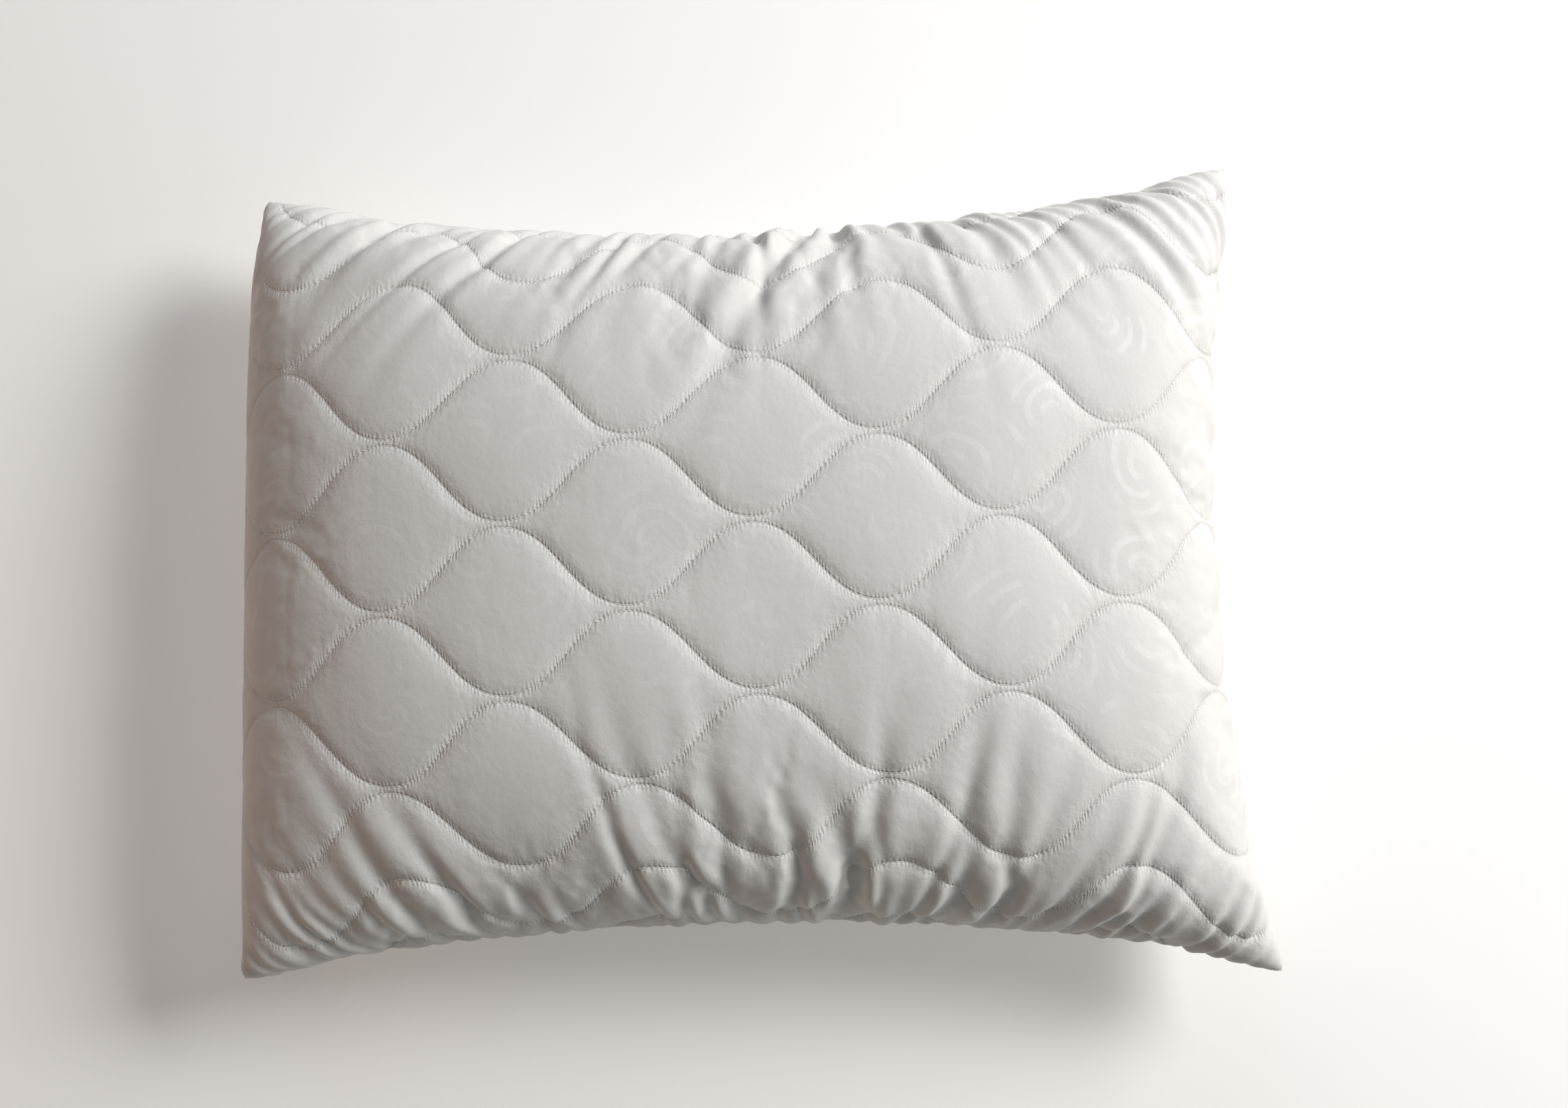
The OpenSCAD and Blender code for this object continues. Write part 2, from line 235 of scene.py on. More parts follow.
@dataclass(frozen=True)
class PanelCloth:
    """One flat panel as it was cut, and how it lies on the form.

    Attributes:
        form: the form under it.
        length: its length as cut.
        width: its width as cut.
        tables: number of fan lines whose lengths are measured on the form.
        samples: number of points on a fan line.
        rounds: how often the two directions are fitted to each other.
    """

    form: PillowForm = PillowForm()
    length: float = 700.0
    width: float = 500.0
    tables: int = 41
    samples: int = 241
    rounds: int = 8

    def _table(self, places: np.ndarray, along: bool) -> np.ndarray:
        """Where evenly spread cloth places lie on the form, for a fan of lines across it."""
        fan = -np.cos(np.linspace(0.0, math.pi, self.tables))
        run = -np.cos(np.linspace(0.0, math.pi, self.samples))
        if along:
            points = self.form.point(run[None, :], fan[:, None], Side.TOP)
        else:
            points = self.form.point(fan[:, None], run[None, :], Side.TOP)
        steps = np.linalg.norm(np.diff(points, axis=1), axis=-1)
        arc = np.concatenate([np.zeros((self.tables, 1)), np.cumsum(steps, axis=1)], axis=1)
        arc /= arc[:, -1:]
        return np.stack([np.interp(places, arc[k], run) for k in range(self.tables)])

    def lay(self, u: np.ndarray, v: np.ndarray) -> tuple[np.ndarray, np.ndarray]:
        """Places on the form for a grid of places on the flat panel.

        Args:
            u: places along the panel, 0 in its middle.
            v: places across the panel, 0 in its middle.

        Returns:
            Two arrays, of s and of t, each with a value for every column and row.
        """
        along = self._table(u / self.length + 0.5, True)
        across = self._table(v / self.width + 0.5, False)
        s = np.repeat(2.0 * u[:, None] / self.length, len(v), axis=1)
        t = np.repeat(2.0 * v[None, :] / self.width, len(u), axis=0)
        columns, rows = np.indices(s.shape)
        for _ in range(self.rounds):
            s = self._read(along, t, columns)
            t = self._read(across, s, rows)
        return s, t

    def _read(self, table: np.ndarray, at: np.ndarray, which: np.ndarray) -> np.ndarray:
        """Reads a table between its fan lines."""
        turn = np.arccos(np.clip(-at, -1.0, 1.0)) * (self.tables - 1) / math.pi
        k = np.clip(np.floor(turn).astype(int), 0, self.tables - 2)
        f = turn - k
        return table[k, which] * (1.0 - f) + table[k + 1, which] * f


# ---------------------------------------------------------------- quilting and gathers


@dataclass(frozen=True)
class QuiltPattern:
    """Wavy quilting lines. Neighbours in the middle lie out of step and nearly touch at their bends.

    Attributes:
        lines: number of lines.
        onion_lines: how many lines in the middle lie out of step with their neighbours.
        pitch: distance between lines.
        wave_length: length of a wave.
        wave_height: full height of a wave.
        crest_offset: place of a bend along the panel.
        middle_offset: place of the middle line across the panel.
        bend_flatness: how much flatter the bends are than a cosine's.
        stitch_pitch: distance between stitches.
        measured: half the length over which a line's own length is measured.
    """

    lines: int = 11
    onion_lines: int = 7
    pitch: float = 49.5
    wave_length: float = 153.0
    wave_height: float = 46.0
    crest_offset: float = 9.6
    middle_offset: float = -4.9
    bend_flatness: float = 0.03
    stitch_pitch: float = 3.0
    measured: float = 400.0

    @property
    def numbers(self) -> range:
        """The lines' numbers, 0 for the middle one."""
        half = (self.lines - 1) // 2
        return range(-half, half + 1)

    def sign(self, n: int) -> int:
        """1 if line n bends to the back at the crest offset, and -1 if to the front."""
        half = (self.onion_lines - 1) // 2
        return -1 if min(abs(n), half) % 2 == half % 2 else 1

    def line(self, n: int, u: np.ndarray) -> np.ndarray:
        """Place across the panel of line n."""
        turn = 2.0 * math.pi * (u - self.crest_offset) / self.wave_length
        bend = (np.cos(turn) - self.bend_flatness * np.cos(3.0 * turn)) / (1.0 - self.bend_flatness)
        return self.middle_offset + n * self.pitch + self.sign(n) * self.wave_height / 2 * bend

    def slope(self, n: int, u: np.ndarray) -> np.ndarray:
        """Slope of line n."""
        step = 0.5
        return (self.line(n, u + step) - self.line(n, u - step)) / (2.0 * step)

    def run(self, n: int, u: np.ndarray) -> np.ndarray:
        """Length along line n from the middle of the panel."""
        fine = np.linspace(-self.measured, self.measured, 1601)
        arc = np.cumsum(np.sqrt(1.0 + self.slope(n, fine) ** 2)) * (fine[1] - fine[0])
        return np.interp(u, fine, arc - arc[len(arc) // 2])

    def distances(self, u: np.ndarray, v: np.ndarray, parity: int) -> tuple[np.ndarray, np.ndarray]:
        """Signed distance from the nearest even or odd line, and the length along that line.

        Args:
            u: places along the panel.
            v: places across the panel.
            parity: 0 for the even lines and 1 for the odd ones.

        Returns:
            Two arrays, each with a value for every column and row.
        """
        # the lengths of the lines start far apart, so that no two lines pucker alike
        own_start = 1000.0
        far = np.full((len(u), len(v)), np.inf)
        length = np.zeros((len(u), len(v)))
        for n in self.numbers:
            if n % 2 != parity:
                continue
            lean = np.sqrt(1.0 + self.slope(n, u) ** 2)[:, None]
            away = (v[None, :] - self.line(n, u)[:, None]) / lean
            nearer = np.abs(away) < np.abs(far)
            far = np.where(nearer, away, far)
            length = np.where(nearer, (self.run(n, u) + own_start * n)[:, None], length)
        return far, length


@dataclass(frozen=True)
class QuiltRelief:
    """How the quilting lines press into the wadding and pucker the cloth: depths and how far they reach."""

    sharp_depth: float = 0.9
    sharp_reach: float = 3.0
    soft_depth: float = 2.6
    soft_reach: float = 11.0
    pucker: float = 0.16
    pucker_start: float = 1.6
    pucker_reach: float = 6.0
    pucker_grain: float = 5.0

    def height(self, pattern: QuiltPattern, u: np.ndarray, v: np.ndarray, seed: int) -> np.ndarray:
        """Height of the face above or below the smooth form, for every column and row."""
        flat, soft, ruffle = 1.0, 1.0, 0.0
        for parity in (0, 1):
            away, length = pattern.distances(u, v, parity)
            d = np.abs(away)
            flat = flat * (1.0 - np.exp(-((d / self.sharp_reach) ** 1.3)))
            soft = soft * (1.0 - np.exp(-d / self.soft_reach))
            fold = np.where(
                away > 0,
                uneven_line(length, self.pucker_grain, seed + parity),
                uneven_line(length, self.pucker_grain, seed + 2 + parity),
            )
            off_line = 1.0 - np.exp(-((d / self.pucker_start) ** 2))
            ruffle = ruffle + fold * np.exp(-d / self.pucker_reach) * off_line
        return -self.sharp_depth * (1.0 - flat) - self.soft_depth * (1.0 - soft) + self.pucker * ruffle


class Edge(Enum):
    """The four edges of a panel."""

    FRONT = 0
    BACK = 1
    ZIP = 2
    PLAIN = 3

    @property
    def long(self) -> bool:
        """Whether it is one of the two long edges."""
        return self in (Edge.FRONT, Edge.BACK)


@dataclass(frozen=True)
class Crease:
    """One crease that starts at the seam and dies out inwards.

    Attributes:
        edge: the edge it starts at.
        at: place along that edge on the flat panel.
        depth: how deep it is at the seam. A negative depth is a ridge.
        reach: how far it runs in.
        breadth: its half width at the seam.
        lean: how far it swerves along the edge for each millimetre inwards.
    """

    edge: Edge
    at: float
    depth: float
    reach: float
    breadth: float
    lean: float = 0.0


@dataclass(frozen=True)
class Gathers:
    """Creases along the edges, where more cloth than seam is sewn in.

    Attributes:
        cloth: the flat panel.
        long_spacing: distance between creases of the front and back edges.
        long_depth: their depth.
        long_reach: their shortest and longest run inwards.
        fan: how far from the middle the creases of the front and of the back edge lean strongly.
        short_spacing: distance between creases of the short sides.
        short_depth: their depth.
        short_reach: their run inwards, as a share of the long edges' one.
        ridges: height, place and breadth of the ridge on each side of a crease, in shares of the crease's own.
        marked: the creases of the upper panel that stand out.
    """

    cloth: PanelCloth = PanelCloth()
    long_spacing: float = 15.0
    long_depth: float = 3.4
    long_reach: tuple[float, float] = (45.0, 125.0)
    fan: tuple[float, float] = (380.0, 210.0)
    short_spacing: float = 30.0
    short_depth: float = 1.3
    short_reach: float = 0.45
    ridges: tuple[tuple[float, float, float], ...] = ((0.42, 1.9, 1.2), (0.3, -2.0, 1.3))
    marked: tuple[Crease, ...] = (
        Crease(Edge.BACK, 46.0, 6.0, 118.0, 6.0, -0.42),
        Crease(Edge.BACK, 66.0, 5.5, 72.0, 6.0, -0.25),
        Crease(Edge.BACK, 30.0, -4.5, 90.0, 8.0, -0.42),
        Crease(Edge.BACK, 140.0, 4.0, 85.0, 6.0, 0.35),
        Crease(Edge.BACK, -235.0, 4.5, 60.0, 6.0, -0.5),
        Crease(Edge.FRONT, 40.0, 4.6, 120.0, 5.5, 0.33),
        Crease(Edge.FRONT, 73.0, 4.2, 95.0, 5.5, -0.27),
        Crease(Edge.FRONT, 57.0, 6.5, 55.0, 7.0, 0.0),
        Crease(Edge.FRONT, -17.0, 3.8, 130.0, 5.0, -0.05),
        Crease(Edge.FRONT, -25.0, 3.4, 120.0, 5.0, -0.35),
        Crease(Edge.FRONT, 116.0, 3.0, 150.0, 6.0, 0.16),
        Crease(Edge.FRONT, 150.0, 3.0, 120.0, 5.0, 0.10),
        Crease(Edge.FRONT, 235.0, 4.4, 75.0, 5.5, 0.3),
        Crease(Edge.PLAIN, 62.0, 3.6, 42.0, 9.0, 0.3),
        Crease(Edge.PLAIN, -28.0, 3.0, 36.0, 8.0, -0.3),
        Crease(Edge.PLAIN, -118.0, 2.6, 50.0, 8.0, 0.5),
    )

    def creases(self, side: Side) -> list[Crease]:
        """All creases of one panel. Both panels share their places at the seam, but not their reach."""
        places, reaches = np.random.default_rng(31), np.random.default_rng(57 + side.value)
        made = list(self.marked) if side is Side.TOP else []
        for edge in Edge:
            half = (self.cloth.length if edge.long else self.cloth.width) / 2
            spacing = self.long_spacing if edge.long else self.short_spacing
            depth = self.long_depth if edge.long else self.short_depth
            at = -half + spacing
            while at < half - spacing / 2:
                lean = math.tanh(at / self.fan[edge.value]) if edge.long else 0.0
                made.append(
                    Crease(
                        edge,
                        at,
                        depth * places.uniform(0.3, 1.2),
                        reaches.uniform(*self.long_reach) * (1.0 if edge.long else self.short_reach),
                        places.uniform(0.2, 0.34) * spacing,
                        lean + reaches.normal(0.0, 0.12),
                    )
                )
                at += spacing * places.uniform(0.6, 1.4)
        return made

    def height(self, u: np.ndarray, v: np.ndarray, side: Side) -> np.ndarray:
        """Height that the creases add, for every column and row."""
        half_u, half_v = self.cloth.length / 2, self.cloth.width / 2
        total = np.zeros((len(u), len(v)))
        for number, c in enumerate(self.creases(side)):
            if c.edge.long:
                inward = (half_v - v if c.edge is Edge.BACK else half_v + v)[None, :]
                place = u[:, None]
            else:
                inward = (half_u - u if c.edge is Edge.PLAIN else half_u + u)[:, None]
                place = v[None, :]
            swerve = 3.0 * uneven_line(inward + 100.0 * number, 28.0, 77)
            x = (place - c.at - c.lean * inward - swerve) / (c.breadth * (1.0 + 0.6 * inward / c.reach))
            valley = np.exp(-(x**2))
            for rise, off, breadth in self.ridges:
                valley = valley - rise * np.exp(-(((x - off) / breadth) ** 2))
            at_seam = 0.4 + 0.6 * smoothstep(0.0, 36.0, inward)
            total -= c.depth * valley * at_seam * np.exp(-((inward / c.reach) ** 2.2))
        return total


# ---------------------------------------------------------------- lattices


def corners_of(made: dict[str, list]) -> list[bmesh.types.BMVert]:
    """The corners among what a bmesh operator made."""
    return [part for part in made["geom"] if isinstance(part, bmesh.types.BMVert)]


class Lattice:
    """A flat net of cells, made with bmesh, whose corners carry their column, row and layer."""

    def __init__(self, columns: int, rows: int) -> None:
        """Makes a flat sheet of columns by rows of cells."""
        self.columns, self.rows = columns, rows
        self.bm = bmesh.new()
        bmesh.ops.create_grid(self.bm, x_segments=columns, y_segments=rows, size=1.0)
        for vert in self.bm.verts:
            vert.co.x = round((vert.co.x + 1.0) * columns / 2)
            vert.co.y = round((vert.co.y + 1.0) * rows / 2)
            vert.co.z = 0.0

    def turn_in(self, layers: int) -> "Lattice":
        """Adds strips of cells that continue past the sheet's edge, one for each layer."""
        for layer in range(1, layers + 1):
            rim = [edge for edge in self.bm.edges if edge.is_boundary]
            for vert in corners_of(bmesh.ops.extrude_edge_only(self.bm, edges=rim)):
                vert.co.z = layer
        return self

    def thicken(self) -> "Lattice":
        """Makes the sheet a closed shell, with layer 1 as its inner face."""
        made = bmesh.ops.extrude_face_region(self.bm, geom=self.bm.faces[:], use_keep_orig=True)
        for vert in corners_of(made):
            vert.co.z = 1.0
        return self

    def sew_back(self) -> "Lattice":
        """Sews a second sheet on round the edge: layer 1 is the top, -1 the back and 0 the seam."""
        back = bmesh.ops.duplicate(self.bm, geom=self.bm.faces[:] + self.bm.edges[:] + self.bm.verts[:])
        behind = set(corners_of(back))
        faces = [part for part in back["geom"] if isinstance(part, bmesh.types.BMFace)]
        bmesh.ops.reverse_faces(self.bm, faces=faces)
        for vert in self.bm.verts:
            inner = 0 < vert.co.x < self.columns and 0 < vert.co.y < self.rows
            vert.co.z = (-1.0 if vert in behind else 1.0) if inner else 0.0
        bmesh.ops.remove_doubles(self.bm, verts=self.bm.verts[:], dist=0.01)
        return self

    def finish(self, name: str) -> tuple[bpy.types.Mesh, np.ndarray]:
        """Ends the net.

        Args:
            name: the mesh's name.

        Returns:
            The mesh, and each corner's column, row and layer as whole numbers.
        """
        mesh = bpy.data.meshes.new(name)
        self.bm.to_mesh(mesh)
        self.bm.free()
        flat = np.empty(len(mesh.vertices) * 3, np.float32)
        mesh.vertices.foreach_get("co", flat)
        return mesh, np.rint(flat.reshape(-1, 3)).astype(int)


def shape_mesh(mesh: bpy.types.Mesh, points: np.ndarray) -> None:
    """Puts a mesh's corners at these points, given in millimetres."""
    mesh.vertices.foreach_set("co", (points * MM).astype(np.float32).ravel())
    mesh.update()


def add_uv(mesh: bpy.types.Mesh, name: str, values: np.ndarray) -> None:
    """Adds a UV map from a pair of values for each corner."""
    loops = np.empty(len(mesh.loops), np.int32)
    mesh.loops.foreach_get("vertex_index", loops)
    layer = mesh.uv_layers.new(name=name)
    layer.data.foreach_set("uv", values[loops].astype(np.float32).ravel())


def add_values(mesh: bpy.types.Mesh, name: str, values: np.ndarray) -> None:
    """Adds a number for each corner, as a named attribute."""
    attribute = mesh.attributes.new(name, "FLOAT", "POINT")
    attribute.data.foreach_set("value", values.astype(np.float32).ravel())


def add_piece(
    name: str, mesh: bpy.types.Mesh, finish: bpy.types.Material, smooth: bool = True
) -> bpy.types.Object:
    """Makes a piece of a mesh and one finish.

    Args:
        name: the piece's name.
        mesh: its mesh, in metres.
        finish: its material.
        smooth: whether its faces are shaded smooth.

    Returns:
        The piece, in the scene.
    """
    mesh.name = name
    mesh.materials.clear()
    mesh.materials.append(finish)
    mesh.polygons.foreach_set("use_smooth", [smooth] * len(mesh.polygons))
    piece = bpy.data.objects.new(name, mesh)
    bpy.context.scene.collection.objects.link(piece)
    return piece


# ---------------------------------------------------------------- the cloth's own folds


@dataclass(frozen=True)
class FoldStudy:
    """A short cloth simulation of the sewn cover, which gives the folds that gathered edges make.

    Attributes:
        cloth: the flat panel.
        columns: cells along it.
        rows: cells across it.
        frames: how long the simulation runs.
        pressure: how hard the fill presses from inside.
        keep_below: folds much broader than this are left out.
        most: how far a fold can move the cloth.
        join_reach: how far in from the seam both panels' folds are brought together.
    """

    cloth: PanelCloth = PanelCloth()
    columns: int = 140
    rows: int = 100
    frames: int = 16
    pressure: float = 4.0
    keep_below: float = 26.0
    most: float = 13.0
    join_reach: float = 15.0

    def folds(self) -> dict[Side, np.ndarray]:
        """How far each place of the net moves from the smooth form, without the broad movement.

        Returns:
            For each side, a vector for every column and row, in millimetres.
        """
        blank = {side: np.zeros((self.columns + 1, self.rows + 1, 3)) for side in Side}
        u = np.linspace(-0.5, 0.5, self.columns + 1) * self.cloth.length
        v = np.linspace(-0.5, 0.5, self.rows + 1) * self.cloth.width
        s, t = self.cloth.lay(u, v)
        start = {side: self.cloth.form.point(s, t, side) for side in Side}
        mesh, where = Lattice(self.columns, self.rows).sew_back().finish("fold_study")
        flat = np.stack([u[where[:, 0]], v[where[:, 1]], 2.0 * where[:, 2]], axis=-1)
        shape_mesh(mesh, flat)
        study = bpy.data.objects.new("fold_study", mesh)
        bpy.context.scene.collection.objects.link(study)
        begun = np.where(
            (where[:, 2] < 0)[:, None],
            start[Side.BACK][where[:, 0], where[:, 1]],
            start[Side.TOP][where[:, 0], where[:, 1]],
        )
        begun += np.random.default_rng(5).normal(0.0, 0.25, begun.shape)
        study.shape_key_add(name="cut flat")
        shaped = study.shape_key_add(name="filled")
        shaped.data.foreach_set("co", (begun * MM).astype(np.float32).ravel())
        shaped.value = 1.0
        self._clothe(study)
        for number in range(1, self.frames + 1):
            bpy.context.scene.frame_set(number)
        held = study.evaluated_get(bpy.context.evaluated_depsgraph_get())
        ended = np.empty(len(mesh.vertices) * 3, np.float32)
        held.data.vertices.foreach_get("co", ended)
        ended = ended.reshape(-1, 3) / MM
        bpy.context.scene.frame_set(1)
        moved = {side: blank[side].copy() for side in Side}
        for side in Side:
            mine = (where[:, 2] == side.value) | (where[:, 2] == 0)
            moved[side][where[mine, 0], where[mine, 1]] = ended[mine] - begun[mine]
        bpy.data.objects.remove(study)
        bpy.data.meshes.remove(mesh)
        return self._fine_part(moved)

    def _clothe(self, study: bpy.types.Object) -> None:
        """Sets the cloth up: firm along its threads, soft in bending, with a light pressure inside."""
        modifier = study.modifiers.new("cloth", "CLOTH")
        settings = modifier.settings
        settings.quality = 5
        settings.mass = 0.3
        settings.air_damping = 3.0
        settings.tension_stiffness = settings.compression_stiffness = 30.0
        settings.shear_stiffness = 12.0
        settings.bending_stiffness = 2.0
        settings.tension_damping = settings.compression_damping = settings.shear_damping = 5.0
        settings.bending_damping = 0.5
        settings.use_pressure = True
        settings.uniform_pressure_force = self.pressure
        settings.effector_weights.gravity = 0.0
        settings.rest_shape_key = study.data.shape_keys.key_blocks["cut flat"]
        modifier.collision_settings.use_collision = False
        modifier.point_cache.frame_start = 1
        modifier.point_cache.frame_end = self.frames

    def _fine_part(self, moved: dict[Side, np.ndarray]) -> dict[Side, np.ndarray]:
        """Keeps the folds and drops the broad movement, so the pillow keeps its size."""
        cell = self.cloth.length / self.columns
        blur_u = blur_matrix(self.columns + 1, self.keep_below / cell)
        blur_v = blur_matrix(self.rows + 1, self.keep_below / cell)
        fine = {}
        for side in Side:
            broad = resample(blur_u, moved[side], blur_v)
            part = moved[side] - broad
            size = np.linalg.norm(part, axis=-1, keepdims=True)
            fine[side] = part * self.most * np.tanh(size / self.most) / np.maximum(size, 1e-6)
        shared = (fine[Side.TOP] + fine[Side.BACK]) / 2
        from_start = np.exp(-np.arange(self.columns + 1) * cell / self.join_reach)[:, None, None]
        from_front = np.exp(-np.arange(self.rows + 1) * cell / self.join_reach)[None, :, None]
        ends_u = ((0, from_start), (-1, from_start[::-1]))
        ends_v = ((0, from_front), (-1, from_front[:, ::-1]))
        for side in Side:
            miss = shared - fine[side]
            patch = np.zeros_like(miss)
            for i, weight in ends_u:
                patch += weight * miss[[i]]
            for j, weight in ends_v:
                patch += weight * miss[:, [j]]
            for i, weight_u in ends_u:
                for j, weight_v in ends_v:
                    patch -= weight_u * weight_v * miss[i, j]
            fine[side] = fine[side] + patch
        return fine


# ---------------------------------------------------------------- the cover's surfaces


@dataclass
class CoverSurface:
    """The quilted face of one panel as a fine net of points, with what lies under it.

    Attributes:
        side: which panel.
        u: the columns' places on the flat panel.
        v: the rows' places on the flat panel.
        smooth: points before the quilting is pressed in.
        face: points of the face itself.
        normal: outward directions.
        low: the lowest height of the face round each point, and never above the smooth form.
    """

    side: Side
    u: np.ndarray
    v: np.ndarray
    smooth: np.ndarray
    face: np.ndarray
    normal: np.ndarray
    low: np.ndarray

    def read(self, net: np.ndarray, u: np.ndarray, v: np.ndarray) -> np.ndarray:
        """Reads one of the nets at any places on the flat panel."""
        iu = np.clip((u - self.u[0]) / (self.u[1] - self.u[0]), 0.0, len(self.u) - 1.001)
        iv = np.clip((v - self.v[0]) / (self.v[1] - self.v[0]), 0.0, len(self.v) - 1.001)
        i, j = np.floor(iu).astype(int), np.floor(iv).astype(int)
        a, b = (iu - i)[..., None], (iv - j)[..., None]
        low = net[i, j] * (1 - a) + net[i + 1, j] * a
        high = net[i, j + 1] * (1 - a) + net[i + 1, j + 1] * a
        return low * (1 - b) + high * b

    def layer(self, u: np.ndarray, v: np.ndarray, depth: float, pressed: float, clear: float) -> np.ndarray:
        """Points of a layer under the face.

        Args:
            u: places along the panel.
            v: places across the panel.
            depth: how deep the layer lies under the form.
            pressed: how much of the face's relief it keeps, from 0 to 1.
            clear: the least distance it keeps under the face.

        Returns:
            Its points.
        """
        low = self.read(self.low[..., None], u, v)
        height = np.minimum(low * pressed - depth, low - clear)
        points = self.read(self.smooth, u, v) + height * self.read(self.normal, u, v)
        points[..., 2] = np.maximum(points[..., 2], FLOOR_GAP + clear)
        return points


def lowest_nearby(net: np.ndarray, reach: int) -> np.ndarray:
    """The lowest value within a few cells of each place of a net."""
    for axis in (0, 1):
        edge = [(0, 0), (0, 0)]
        edge[axis] = (reach, reach)
        wide = np.pad(net, edge, mode="edge")
        places = np.arange(net.shape[axis])
        net = np.min([np.take(wide, places + k, axis=axis) for k in range(2 * reach + 1)], axis=0)
    return net


def read_seam(surfaces: dict[Side, CoverSurface], what: str, u: np.ndarray, v: np.ndarray) -> np.ndarray:
    """The mean of both faces' points or directions at places on the seam."""
    return np.mean([face.read(getattr(face, what), u, v) for face in surfaces.values()], axis=0)


def along_path(
    corners: list[tuple[float, float]], pitch: float, last: bool
) -> tuple[np.ndarray, np.ndarray]:
    """Evenly spaced places along straight stretches between corners of the flat panel.

    Args:
        corners: the corners, in order.
        pitch: distance between the places.
        last: whether the last place falls on the last corner, with the pitch made to fit.

    Returns:
        The places along and across the panel.
    """
    stops = np.concatenate([[0.0], np.cumsum([math.dist(a, b) for a, b in zip(corners, corners[1:])])])
    if last:
        at = np.linspace(0.0, stops[-1], int(stops[-1] / pitch) + 1)
    else:
        at = np.arange(0.0, stops[-1], pitch)
    u, v = np.array(corners).T
    return np.interp(at, stops, u), np.interp(at, stops, v)


